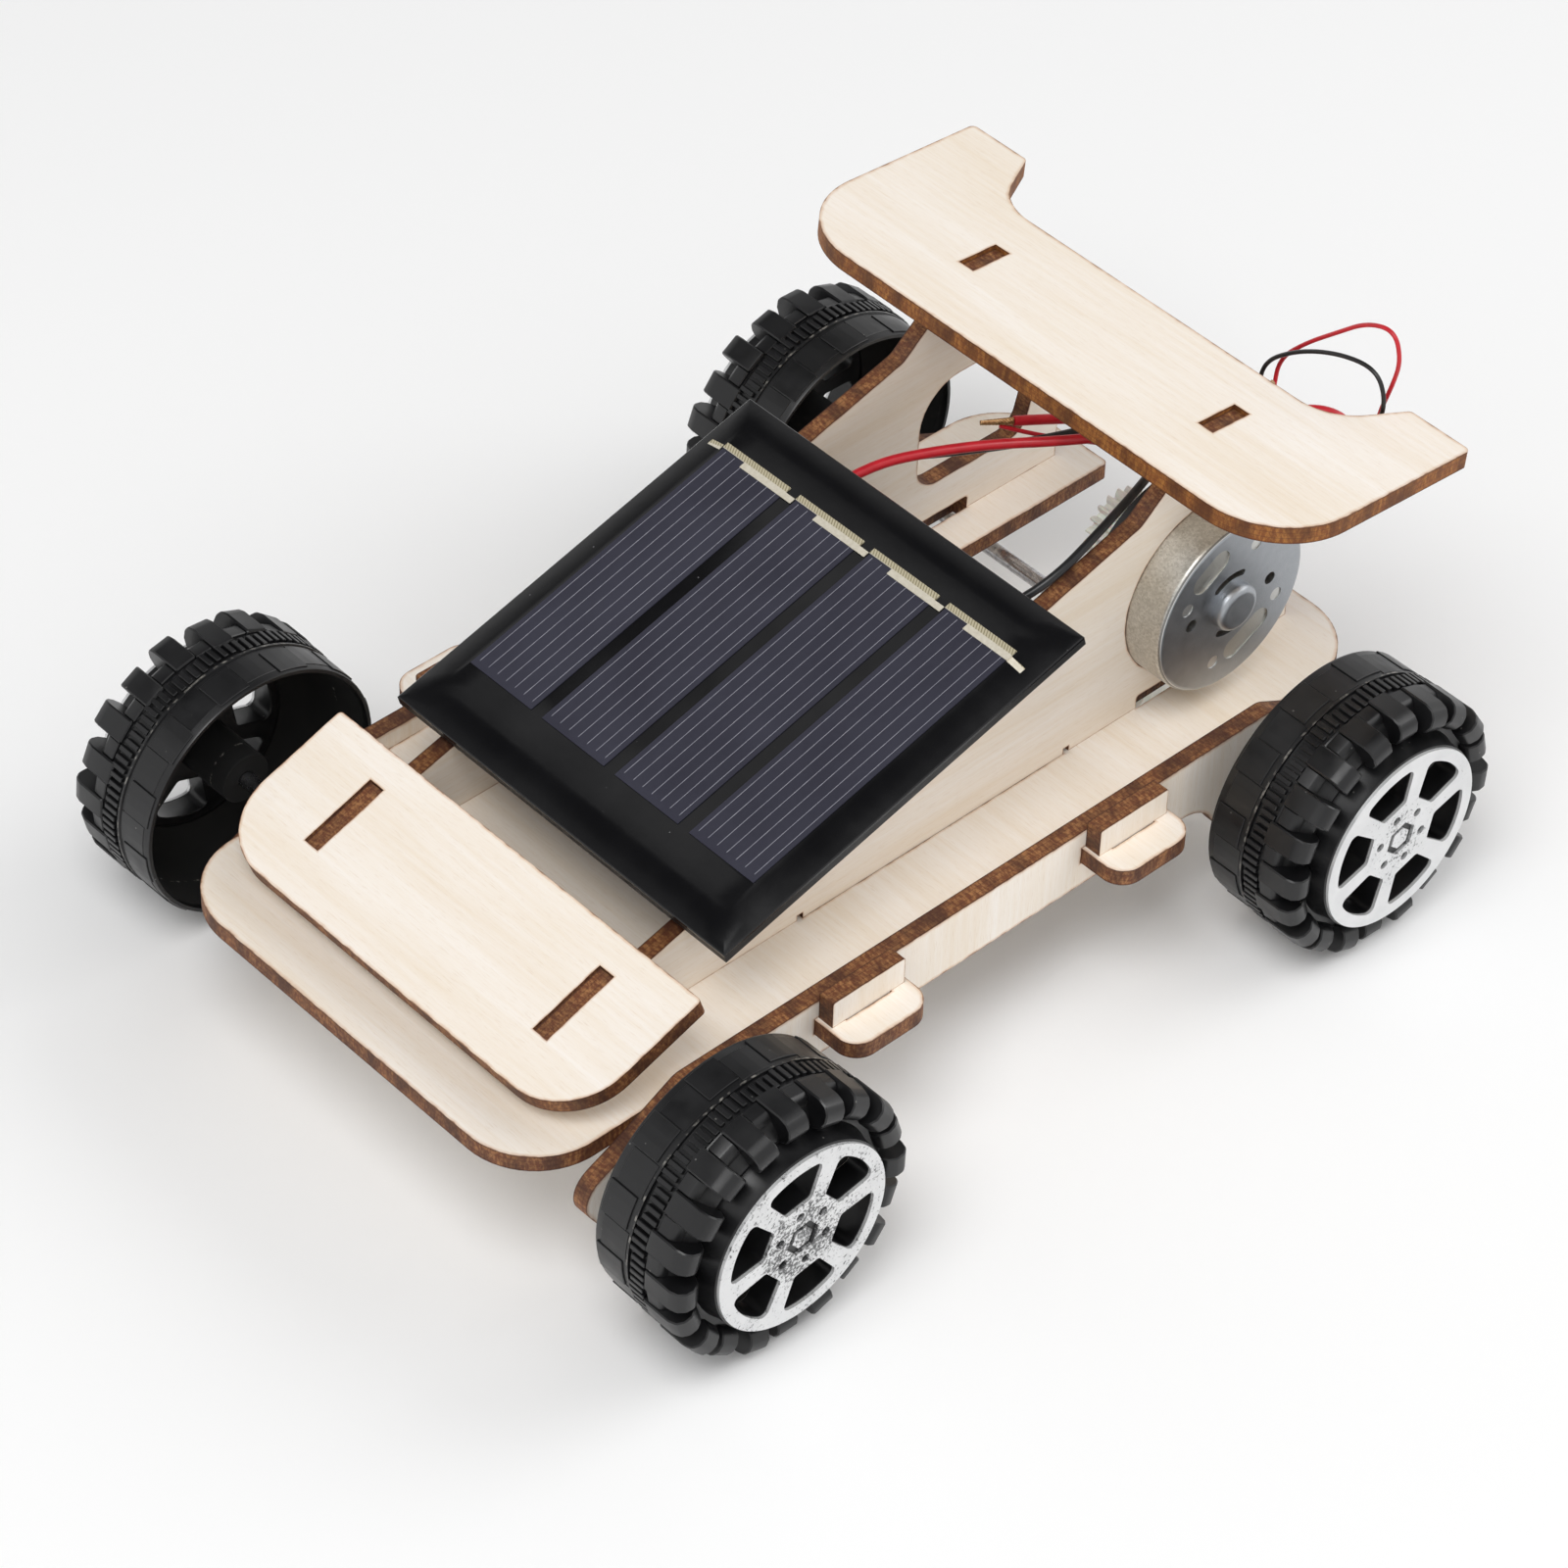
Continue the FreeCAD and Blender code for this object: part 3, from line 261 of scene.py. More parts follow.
# %% Plywood finish
def laser_cut_ply(name, wall, wall_light, wall_dark):
    material, tree, shader = new_material(name)
    grain = add(tree, "ShaderNodeAttribute", attribute_name="grain").outputs["Vector"]
    burn = add(tree, "ShaderNodeAttribute", attribute_name="burn").outputs["Fac"]
    through = add(tree, "ShaderNodeSeparateXYZ", {0: grain}).outputs[2]

    def wood_noise(along, across, detail, scale=1.0):
        """Noise stretched along the grain; along and across are cycles in each millimetre."""
        stretched = add(tree, "ShaderNodeMapping", {"Vector": grain, "Scale": (along, across, 2.0)})
        return add(tree, "ShaderNodeTexNoise", {"Vector": stretched.outputs[0], "Scale": scale,
                                                "Detail": detail, "Roughness": 0.6}).outputs[0]

    broad = wood_noise(0.012, 0.10, 2.0)
    streak = wood_noise(0.06, 1.3, 5.0)
    pores = wood_noise(0.5, 6.0, 3.0)
    tone = calculate(tree, "ADD", calculate(tree, "MULTIPLY", broad, 0.7), calculate(tree, "MULTIPLY", streak, 0.5))
    tone = add(tree, "ShaderNodeMapRange", {"Value": tone, "From Min": 0.42, "From Max": 0.80}).outputs[0]
    face = add(tree, "ShaderNodeMix", {"Factor": tone, "A": linear("#F5EEE6"), "B": linear("#EBDDCA")}, data_type="RGBA")
    pore_mask = add(tree, "ShaderNodeMapRange", {"Value": pores, "From Min": 0.56, "From Max": 0.74, "To Max": 0.26})
    face = add(tree, "ShaderNodeMix", {"Factor": pore_mask.outputs[0], "A": face.outputs["Result"], "B": linear("#C4A47C")},
               data_type="RGBA")

    # scorch beside the cut: an uneven amber tint that ends in a thin dark line
    patch = add(tree, "ShaderNodeTexNoise", {"Vector": grain, "Scale": 0.55, "Detail": 4.0}).outputs[0]
    uneven = calculate(tree, "MULTIPLY", calculate(tree, "SUBTRACT", patch, 0.5), 0.9)
    scorch = calculate(tree, "ADD", burn, uneven)
    amber = add(tree, "ShaderNodeMapRange", {"Value": scorch, "From Min": 0.25, "From Max": 1.05, "To Max": 0.62})
    charred = add(tree, "ShaderNodeMapRange", {"Value": scorch, "From Min": 0.80, "From Max": 1.0})
    inside = calculate(tree, "GREATER_THAN", burn, 0.001)
    tinted = add(tree, "ShaderNodeMix", {"Factor": calculate(tree, "MULTIPLY", amber.outputs[0], inside),
                                         "A": face.outputs["Result"], "B": linear("#BF8440")}, data_type="RGBA")
    edge_line = calculate(tree, "MULTIPLY", charred.outputs[0], inside)
    tinted = add(tree, "ShaderNodeMix", {"Factor": calculate(tree, "MULTIPLY", edge_line, 0.75),
                                         "A": tinted.outputs["Result"], "B": linear("#6B3A18")}, data_type="RGBA")

    # the burnt wall: three veneers, speckled char, and a darker line along both faces
    speck = add(tree, "ShaderNodeTexNoise", {"Vector": grain, "Scale": 2.6, "Detail": 5.0, "Roughness": 0.7}).outputs[0]
    flame = add(tree, "ShaderNodeTexNoise", {"Vector": grain, "Scale": 0.32, "Detail": 2.0}).outputs[0]
    light = add(tree, "ShaderNodeMapRange", {"Value": speck, "From Min": 0.44, "From Max": 0.66})
    wall_tone = add(tree, "ShaderNodeMix", {"Factor": light.outputs[0], "A": linear(wall), "B": linear(wall_light)},
                    data_type="RGBA")
    sooty = add(tree, "ShaderNodeMapRange", {"Value": flame, "From Min": 0.40, "From Max": 0.62, "To Max": 0.75})
    wall_tone = add(tree, "ShaderNodeMix", {"Factor": sooty.outputs[0], "A": wall_tone.outputs["Result"],
                                            "B": linear(wall_dark)}, data_type="RGBA")
    from_middle = calculate(tree, "ABSOLUTE", calculate(tree, "SUBTRACT", through, 0.5))
    rim = add(tree, "ShaderNodeMapRange", {"Value": from_middle, "From Min": 0.40, "From Max": 0.47, "To Max": 0.75})
    glue_line = add(tree, "ShaderNodeMath", {0: from_middle, 1: 0.17, 2: 0.025}, operation="COMPARE").outputs[0]
    dark_line = calculate(tree, "MAXIMUM", rim.outputs[0], calculate(tree, "MULTIPLY", glue_line, 0.4))
    wall_tone = add(tree, "ShaderNodeMix", {"Factor": dark_line, "A": wall_tone.outputs["Result"],
                                            "B": linear(wall_dark)}, data_type="RGBA")
    on_wall = calculate(tree, "GREATER_THAN", burn, 1.5)
    colour = add(tree, "ShaderNodeMix", {"Factor": on_wall, "A": tinted.outputs["Result"],
                                         "B": wall_tone.outputs["Result"]}, data_type="RGBA")
    tree.links.new(colour.outputs["Result"], shader.inputs["Base Color"])
    rough = add(tree, "ShaderNodeMapRange", {"Value": streak, "To Min": 0.55, "To Max": 0.78})
    tree.links.new(rough.outputs[0], shader.inputs["Roughness"])
    relief = calculate(tree, "ADD", calculate(tree, "MULTIPLY", streak, 0.6),
                       calculate(tree, "MULTIPLY", calculate(tree, "MULTIPLY", speck, on_wall), 1.6))
    bump = add(tree, "ShaderNodeBump", {"Height": relief, "Strength": 0.5, "Distance": 0.00006})
    tree.links.new(bump.outputs[0], shader.inputs["Normal"])
    return material


DARK_CUT_PLY = laser_cut_ply("basswood_ply_laser_cut_dark", "#6A3A1E", "#A87647", "#3A1B0E")
GOLDEN_CUT_PLY = laser_cut_ply("basswood_ply_laser_cut_golden", "#7E471B", "#AB7233", "#4A2408")


# %% Boards with a scorched rim
def merged_copy(node):
    """The node's triangles joined into one closed skin, as a bmesh."""
    skin = bmesh.new()
    skin.from_mesh(NODES[node].data)
    bmesh.ops.remove_doubles(skin, verts=skin.verts, dist=2e-6)
    return skin


def finished_piece(name, mesh, finish, body, replaced=()):
    """Puts a mesh in the scene with its material and body, in place of the nodes it stands for."""
    mesh.materials.clear()
    mesh.materials.append(finish)
    piece = bpy.data.objects.new(name, mesh)
    bpy.context.scene.collection.objects.link(piece)
    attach(piece, body)
    if replaced:
        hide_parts(*replaced)
    return piece


def smooth_by_angle(mesh, degrees):
    mesh.shade_smooth()
    mesh.set_sharp_from_angle(angle=math.radians(degrees))


def ply_board(node, grain_axis, finish, rim=0.7):
    board = merged_copy(node)
    bmesh.ops.dissolve_limit(board, angle_limit=math.radians(0.3), verts=board.verts, edges=board.edges)
    widest = max(board.faces, key=lambda f: f.calc_area())
    normal = widest.normal.copy()
    across_axis = normal.cross(grain_axis).normalized()
    along_axis = across_axis.cross(normal)
    faces = [f for f in board.faces if abs(f.normal.dot(normal)) > 0.999]
    walls = set(board.faces) - set(faces)
    ring = set(bmesh.ops.inset_region(board, faces=faces, thickness=rim * MM, use_boundary=True,
                                      use_even_offset=False)["faces"])
    heights = [v.co.dot(normal) for v in board.verts]
    low, high = min(heights), max(heights)
    grain = board.verts.layers.float_vector.new("grain")
    burn = board.loops.layers.float.new("burn")
    for v in board.verts:
        v[grain] = (v.co.dot(along_axis) / MM, v.co.dot(across_axis) / MM, (v.co.dot(normal) - low) / (high - low))
    for f in board.faces:
        for loop in f.loops:
            at_cut = any(w in walls for w in loop.vert.link_faces)
            loop[burn] = 2.0 if f in walls else (1.0 if f in ring and at_cut else 0.0)
    mesh = bpy.data.meshes.new(node + "_ply")
    board.to_mesh(mesh)
    board.free()
    smooth_by_angle(mesh, 25)
    return finished_piece(node + "_ply", mesh, finish, "chassis", (node,))


ALONG_X, ALONG_Y, ALONG_Z = Vector((1, 0, 0)), Vector((0, 1, 0)), Vector((0, 0, 1))
BOARDS = {"base_plate": ALONG_X, "front_wing": ALONG_X, "rear_wing": ALONG_X,
          "side_panel_left": ALONG_Y, "side_panel_right": ALONG_Y, "rail_left": ALONG_Z, "rail_right": ALONG_Z}
NARROW_RIMS = {"front_wing": 0.55, "side_panel_left": 0.4, "side_panel_right": 0.4}    # tight corners fold a wide ring
for node, direction in BOARDS.items():
    finish = GOLDEN_CUT_PLY if node == "rear_wing" else DARK_CUT_PLY
    piece = ply_board(node, direction, finish, NARROW_RIMS.get(node, 0.7))
    print("board", node, len(piece.data.polygons), "faces")
for end in ("front", "rear"):
    for side in ("left", "right"):
        ply_board("rail_key_%s_%s" % (end, side), ALONG_Z, DARK_CUT_PLY, rim=0.3)


# %% [markdown]
# ## Mottled plain finishes
# Many small pieces need only one material each, but none is a single flat colour. One recipe
# serves them: two close tones in patches of a real size, a roughness that varies with them, and
# a fine grit in the surface.

# %% The mottled recipe
def mottled(name, light, dark, patch_mm, rough, metallic=0.0, grit_mm=0.15, grit_depth=0.01, **constants):
    """rough is the lowest and highest roughness; constants go straight onto the shader."""
    material, tree, shader = new_material(name)
    place = add(tree, "ShaderNodeTexCoord").outputs["Object"]
    patch = add(tree, "ShaderNodeTexNoise", {"Vector": place, "Scale": 1 / (patch_mm * MM), "Detail": 4.0})
    grit = add(tree, "ShaderNodeTexNoise", {"Vector": place, "Scale": 1 / (grit_mm * MM), "Detail": 2.0})
    share = add(tree, "ShaderNodeMapRange", {"Value": patch.outputs[0], "From Min": 0.3, "From Max": 0.7})
    tint = add(tree, "ShaderNodeMix", {"Factor": share.outputs[0], "A": linear(light), "B": linear(dark)},
               data_type="RGBA")
    tree.links.new(tint.outputs["Result"], shader.inputs["Base Color"])
    gloss = add(tree, "ShaderNodeMapRange", {"Value": patch.outputs[0], "To Min": rough[0], "To Max": rough[1]})
    tree.links.new(gloss.outputs[0], shader.inputs["Roughness"])
    bump = add(tree, "ShaderNodeBump", {"Height": grit.outputs[0], "Strength": 0.6, "Distance": grit_depth * MM})
    tree.links.new(bump.outputs[0], shader.inputs["Normal"])
    shader.inputs["Metallic"].default_value = metallic
    for socket, value in constants.items():
        shader.inputs[socket.replace("_", " ")].default_value = value
    return material


def refinish(finish, *nodes):
    """Gives carried-over pieces their material; their shape is left as it is."""
    for node in nodes:
        mesh = NODES[node].data
        mesh.materials.clear()
        mesh.materials.append(finish)


refinish(mottled("drawn_steel_rod", "#D6D6D8", "#A9A9AD", 0.6, (0.18, 0.34), 1.0), "front_axle", "rear_axle", "motor_shaft")
refinish(mottled("black_circuit_board", "#101011", "#060607", 2.0, (0.35, 0.55)), "solar_board")
refinish(mottled("white_foam_tape", "#E9E8E2", "#CFCDC4", 0.4, (0.8, 0.95), grit_depth=0.05), "solar_tape")
refinish(mottled("tin_lead_solder", "#D2D0CB", "#A5A29B", 0.5, (0.2, 0.4), 1.0), "solar_solder")
refinish(mottled("ferrite_magnet", "#3B3836", "#2A2826", 0.5, (0.5, 0.7)), "motor_magnets")
refinish(mottled("enamelled_copper_winding", "#B4602C", "#7C3A16", 0.3, (0.25, 0.4), 1.0, 0.2, 0.04), "motor_armature")
refinish(mottled("sintered_bronze", "#C69A5B", "#8F6A35", 0.3, (0.35, 0.5), 1.0), "motor_bushes")
refinish(mottled("tinned_brass_terminal", "#D8CFAE", "#B3A67C", 0.4, (0.25, 0.4), 1.0), "motor_terminals")
refinish(mottled("black_nylon_cap", "#202021", "#131314", 1.2, (0.4, 0.6)), "motor_cap")
refinish(mottled("natural_nylon_gear", "#F1F0EA", "#DAD9D0", 1.5, (0.28, 0.42), Subsurface_Weight=0.35,
                 Subsurface_Scale=0.001), "axle_gear", "motor_pinion")
print("small pieces finished")


# %% [markdown]
# ## Motor can
# The can is deep-drawn from zinc-plated sheet. Its side took on a warm, faintly sparkling
# surface where the sheet was stretched, and its end face stayed flat, cooler and satin. A dark
# line is painted round the rim as shade, standing in for the rolled edge's dark reflection. The
# two are told apart by how far out along X the surface lies.

# %% Zinc-plated drawn steel
def drawn_can_steel():
    material, tree, shader = new_material("zinc_plated_drawn_steel")
    place = add(tree, "ShaderNodeTexCoord").outputs["Object"]
    outward = add(tree, "ShaderNodeSeparateXYZ", {0: place}).outputs[0]
    face_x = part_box("motor_can")[1].x - 1.5 * MM
    on_face = add(tree, "ShaderNodeMapRange", {"Value": outward, "From Min": face_x - 0.35 * MM,
                                               "From Max": face_x - 0.05 * MM}).outputs[0]
    sparkle = add(tree, "ShaderNodeTexVoronoi", {"Vector": place, "Scale": 1 / (0.22 * MM)})
    cloud = add(tree, "ShaderNodeTexNoise", {"Vector": place, "Scale": 1 / (1.4 * MM), "Detail": 5.0}).outputs[0]
    crystal = add(tree, "ShaderNodeSeparateColor", {0: sparkle.outputs["Color"]}).outputs[0]
    side_share = calculate(tree, "ADD", calculate(tree, "MULTIPLY", crystal, 0.5), calculate(tree, "MULTIPLY", cloud, 0.5))
    side = add(tree, "ShaderNodeMix", {"Factor": side_share, "A": linear("#A6A39B"), "B": linear("#DAD8D2")},
               data_type="RGBA")
    face = add(tree, "ShaderNodeMix", {"Factor": cloud, "A": linear("#9CA0A5"), "B": linear("#B4B7BB")}, data_type="RGBA")
    tint = add(tree, "ShaderNodeMix", {"Factor": on_face, "A": side.outputs["Result"], "B": face.outputs["Result"]},
               data_type="RGBA")
    sunk = calculate(tree, "SUBTRACT", face_x, outward)
    dimple = add(tree, "ShaderNodeMath", {0: sunk, 1: 0.12 * MM, 2: 0.03 * MM}, operation="COMPARE").outputs[0]
    tint = add(tree, "ShaderNodeMix", {"Factor": calculate(tree, "MULTIPLY", dimple, 0.7),
                                       "A": tint.outputs["Result"], "B": linear("#E4E3DE")}, data_type="RGBA")
    pressed = add(tree, "ShaderNodeMath", {0: sunk, 1: 0.2 * MM, 2: 0.03 * MM}, operation="COMPARE").outputs[0]
    tint = add(tree, "ShaderNodeMix", {"Factor": calculate(tree, "MULTIPLY", pressed, 0.8),
                                       "A": tint.outputs["Result"], "B": linear("#C6C4BC")}, data_type="RGBA")
    # painted shade: a dark band round the rolled rim stands in for its dark reflection
    painted_rim_shade = add(tree, "ShaderNodeMath", {0: on_face, 1: 0.42, 2: 0.3}, operation="COMPARE").outputs[0]
    low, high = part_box("motor_can")
    from_axis = add(tree, "ShaderNodeMapping", {"Vector": place, "Location": (0, -(low.y + high.y) / 2, -(low.z + high.z) / 2),
                                                "Scale": (0, 1, 1)}).outputs[0]
    radius = add(tree, "ShaderNodeVectorMath", {0: from_axis}, operation="LENGTH").outputs["Value"]
    painted_rim_shade = calculate(tree, "MULTIPLY", painted_rim_shade, calculate(tree, "GREATER_THAN", radius, 11.2 * MM))
    tint = add(tree, "ShaderNodeMix", {"Factor": calculate(tree, "MULTIPLY", painted_rim_shade, 0.6),
                                       "A": tint.outputs["Result"], "B": linear("#4A4A4C")}, data_type="RGBA")
    tree.links.new(tint.outputs["Result"], shader.inputs["Base Color"])
    shader.inputs["Metallic"].default_value = 1.0
    gloss = add(tree, "ShaderNodeMapRange", {"Value": cloud, "To Min": 0.30, "To Max": 0.46})
    tree.links.new(gloss.outputs[0], shader.inputs["Roughness"])
    bump = add(tree, "ShaderNodeBump", {"Height": crystal, "Strength": 0.35, "Distance": 0.02 * MM})
    tree.links.new(bump.outputs[0], shader.inputs["Normal"])
    return material


refinish(drawn_can_steel(), "motor_can")
print("motor can finished")


# %% [markdown]
# ## Solar panel
# Four strips of silicon lie under a cast slab of resin on a black board. The slab is flat on top
# and falls away to all four sides, and the falls meet in a sharp mitre at each corner. That
# shape decides how the panel reflects, so it is lofted from rings, each one a rectangle set in
# from the edge by a step and raised by another.

# %% Places on the sloping panel
RAMP = math.radians(15.5)
PANEL_X = 0.5                      # middle of the panel, in mm like the rest of this cell
PANEL_W, PANEL_L = 56.8, 57.3
PANEL_FRONT_Y, PANEL_FRONT_Z = -36.1, 28.2 + (48.6 - 36.1) * math.tan(RAMP)
RESIN_FOOT = 2.1                   # tape and board under the resin
RESIN_TOP = RESIN_FOOT + 1.5
CELL_W, CELL_L, CELL_PITCH, CELL_FIRST, CELL_FRONT = 10.8, 41.0, 12.7, -23.9, 8.5
CELL_TOP = RESIN_TOP + 0.12


def on_panel(x, along, height):
    """A point by its x, its way up the panel and its height over the ramp, in metres."""
    return Vector((x, PANEL_FRONT_Y + along * math.cos(RAMP) - height * math.sin(RAMP),
                   PANEL_FRONT_Z + along * math.sin(RAMP) + height * math.cos(RAMP))) * MM


PANEL_MATRIX = Matrix.Translation(on_panel(0, 0, 0)) @ Matrix.Rotation(RAMP, 4, "X")

# %% Resin slab
RESIN_RINGS = (                     # inset at the sides, at the front, at the tail, and height, in mm
    (0.0, 0.0, 0.0, 0.0), (0.0, 0.0, 0.0, 0.30), (0.12, 0.12, 0.12, 0.42), (1.2, 1.2, 1.2, 0.80),
    (2.4, 2.4, 2.4, 1.12), (3.2, 3.3, 3.3, 1.30), (3.6, 4.2, 4.2, 1.38), (3.8, 6.0, 5.4, 1.45),
    (3.95, 8.3, 6.8, 1.495))
RESIN_STEPS = 16                    # points along each side of a ring


def resin_slab():
    slab = bmesh.new()
    rings = []
    for side, front, tail, height in RESIN_RINGS:
        half, low, high = PANEL_W / 2 - side, front, PANEL_L - tail
        corners = [(PANEL_X - half, low), (PANEL_X + half, low), (PANEL_X + half, high), (PANEL_X - half, high)]
        ring = []
        for i in range(4):
            (xa, ya), (xb, yb) = corners[i], corners[(i + 1) % 4]
            for k in range(RESIN_STEPS):
                t = k / RESIN_STEPS
                ring.append(slab.verts.new(on_panel(xa + (xb - xa) * t, ya + (yb - ya) * t, RESIN_FOOT + height)))
        rings.append(ring)
    for lower, upper in zip(rings, rings[1:]):
        for i in range(len(lower)):
            j = (i + 1) % len(lower)
            slab.faces.new((lower[i], lower[j], upper[j], upper[i]))
    slab.faces.new(rings[-1])
    slab.faces.new(list(reversed(rings[0])))
    bmesh.ops.recalc_face_normals(slab, faces=slab.faces)
    mesh = bpy.data.meshes.new("resin_slab")
    slab.to_mesh(mesh)
    slab.free()
    smooth_by_angle(mesh, 22)
    return mesh


def cast_resin():
    """Black-backed cast resin: glossy, a little wavy, with dust and small nicks."""
    material, tree, shader = new_material("cast_black_resin")
    place = add(tree, "ShaderNodeTexCoord").outputs["Object"]
    dust = add(tree, "ShaderNodeTexVoronoi", {"Vector": place, "Scale": 1 / (3.2 * MM)})
    size = add(tree, "ShaderNodeTexNoise", {"Vector": place, "Scale": 1 / (0.9 * MM)}).outputs[0]
    speck = calculate(tree, "LESS_THAN", dust.outputs["Distance"], calculate(tree, "MULTIPLY", size, 0.055))
    tint = add(tree, "ShaderNodeMix", {"Factor": calculate(tree, "MULTIPLY", speck, 0.45),
                                       "A": linear("#0D0D0F"), "B": linear("#8D8D90")}, data_type="RGBA")
    tree.links.new(tint.outputs["Result"], shader.inputs["Base Color"])
    smear = add(tree, "ShaderNodeTexNoise", {"Vector": place, "Scale": 1 / (9 * MM), "Detail": 4.0}).outputs[0]
    gloss = add(tree, "ShaderNodeMapRange", {"Value": smear, "From Min": 0.3, "From Max": 0.7,
                                             "To Min": 0.12, "To Max": 0.26})
    tree.links.new(gloss.outputs[0], shader.inputs["Roughness"])
    bump = add(tree, "ShaderNodeBump", {"Height": smear, "Strength": 0.4, "Distance": 0.15 * MM})
    tree.links.new(bump.outputs[0], shader.inputs["Normal"])
    return material


finished_piece("resin_slab", resin_slab(), cast_resin(), "chassis", ("solar_resin",))
print("resin slab with", len(RESIN_RINGS), "rings")


# %% [markdown]
# ## Silicon, finger lines and ribbons
# The strips are dark blue-grey silicon. Seven hair-thin silver lines run along each one, and two
# staggered rows of tinned ribbon join them at the tail end. The lines repeat at an even pitch
# inside each strip and at a wider pitch from strip to strip, so a Geometry Nodes tree sets them
# out, with both pitches as its inputs.

# %% Silicon and tinned copper
def silicon_strip():
    material, tree, shader = new_material("silicon_under_resin")
    place = add(tree, "ShaderNodeTexCoord").outputs["Object"]
    cloud = add(tree, "ShaderNodeTexNoise", {"Vector": place, "Scale": 1 / (11 * MM), "Detail": 3.0}).outputs[0]
    crystal = add(tree, "ShaderNodeTexNoise", {"Vector": place, "Scale": 1 / (0.7 * MM), "Detail": 2.0}).outputs[0]
    share = calculate(tree, "ADD", calculate(tree, "MULTIPLY", cloud, 0.8), calculate(tree, "MULTIPLY", crystal, 0.2))
    share = add(tree, "ShaderNodeMapRange", {"Value": share, "From Min": 0.35, "From Max": 0.65}).outputs[0]
    tint = add(tree, "ShaderNodeMix", {"Factor": share, "A": linear("#17162A"), "B": linear("#252536")}, data_type="RGBA")
    tree.links.new(tint.outputs["Result"], shader.inputs["Base Color"])
    shader.inputs["Roughness"].default_value = 0.38
    shader.inputs["Coat Weight"].default_value = 0.8
    shader.inputs["Coat Roughness"].default_value = 0.14
    bump = add(tree, "ShaderNodeBump", {"Height": cloud, "Strength": 0.3, "Distance": 0.12 * MM})
    tree.links.new(bump.outputs[0], shader.inputs["Normal"])
    return material


def tinned_ribbon():
    """The tail row is cream with a slanted hatch, the front row is bright and blotchy."""
    material, tree, shader = new_material("tinned_copper_ribbon")
    place = add(tree, "ShaderNodeTexCoord").outputs["Object"]
    parts = add(tree, "ShaderNodeSeparateXYZ", {0: place})
    row_y = on_panel(0, CELL_FRONT + CELL_L, RESIN_TOP).y
    tail_row = calculate(tree, "GREATER_THAN", parts.outputs[1], row_y)
    slant = calculate(tree, "ADD", parts.outputs[0], calculate(tree, "MULTIPLY", parts.outputs[1], 0.6))
    hatch = calculate(tree, "FRACT", calculate(tree, "MULTIPLY", slant, 1 / (0.42 * MM)))
    hatch = add(tree, "ShaderNodeMapRange", {"Value": hatch, "From Min": 0.55, "From Max": 0.8}).outputs[0]
    blotch = add(tree, "ShaderNodeTexNoise", {"Vector": place, "Scale": 1 / (0.5 * MM), "Detail": 4.0}).outputs[0]
    cream = add(tree, "ShaderNodeMix", {"Factor": hatch, "A": linear("#CFC6AA"), "B": linear("#94896B")}, data_type="RGBA")
    bright = add(tree, "ShaderNodeMix", {"Factor": blotch, "A": linear("#F4EEDF"), "B": linear("#CFC6B0")}, data_type="RGBA")
    tint = add(tree, "ShaderNodeMix", {"Factor": tail_row, "A": bright.outputs["Result"], "B": cream.outputs["Result"]},
               data_type="RGBA")
    tree.links.new(tint.outputs["Result"], shader.inputs["Base Color"])
    shader.inputs["Metallic"].default_value = 0.35
    shader.inputs["Roughness"].default_value = 0.42
    bump = add(tree, "ShaderNodeBump", {"Height": blotch, "Strength": 0.5, "Distance": 0.05 * MM})
    tree.links.new(bump.outputs[0], shader.inputs["Normal"])
    return material


TINNED_RIBBON = tinned_ribbon()
refinish(silicon_strip(), "solar_cells")
refinish(TINNED_RIBBON, "cell_tabs")


# %% Geometry Nodes: blocks in spaced groups along X
def new_tree(name, inputs):
    """A Geometry Nodes tree with these named inputs; returns it, its input node and a finisher."""
    tree = bpy.data.node_groups.new(name, "GeometryNodeTree")
    for label, kind in inputs:
        tree.interface.new_socket(label, in_out="INPUT", socket_type="NodeSocket" + kind)
    tree.interface.new_socket("Geometry", in_out="OUTPUT", socket_type="NodeSocketGeometry")
    start = add(tree, "NodeGroupInput")

    def finish(points, rotation=None):
        block = add(tree, "GeometryNodeObjectInfo", {"Object": start.outputs["Block"]})
        placed = add(tree, "GeometryNodeInstanceOnPoints", {"Points": points, "Instance": block.outputs["Geometry"]})
        if rotation is not None:
            tree.links.new(rotation, placed.inputs["Rotation"])
        solid = add(tree, "GeometryNodeRealizeInstances", {0: placed.outputs[0]})
        dressed = add(tree, "GeometryNodeSetMaterial", {"Geometry": solid.outputs[0], "Material": start.outputs["Material"]})
        add(tree, "NodeGroupOutput", {0: dressed.outputs[0]})
        return tree

    return tree, start, finish


def spaced_groups_tree():
    tree, start, finish = new_tree("blocks_in_spaced_groups", (
        ("Block", "Object"), ("Count", "Int"), ("In each group", "Int"), ("Pitch", "Float"),
        ("Group pitch", "Float"), ("Material", "Material")))
    index = add(tree, "GeometryNodeInputIndex").outputs[0]
    per_group = start.outputs["In each group"]
    group = calculate(tree, "FLOOR", calculate(tree, "DIVIDE", index, per_group))
    place = calculate(tree, "MODULO", index, per_group)
    x = calculate(tree, "ADD", calculate(tree, "MULTIPLY", place, start.outputs["Pitch"]),
                  calculate(tree, "MULTIPLY", group, start.outputs["Group pitch"]))
    row = add(tree, "ShaderNodeCombineXYZ", {0: x}).outputs[0]
    points = add(tree, "GeometryNodePoints", {"Count": start.outputs["Count"], "Position": row})
    return finish(points.outputs[0])


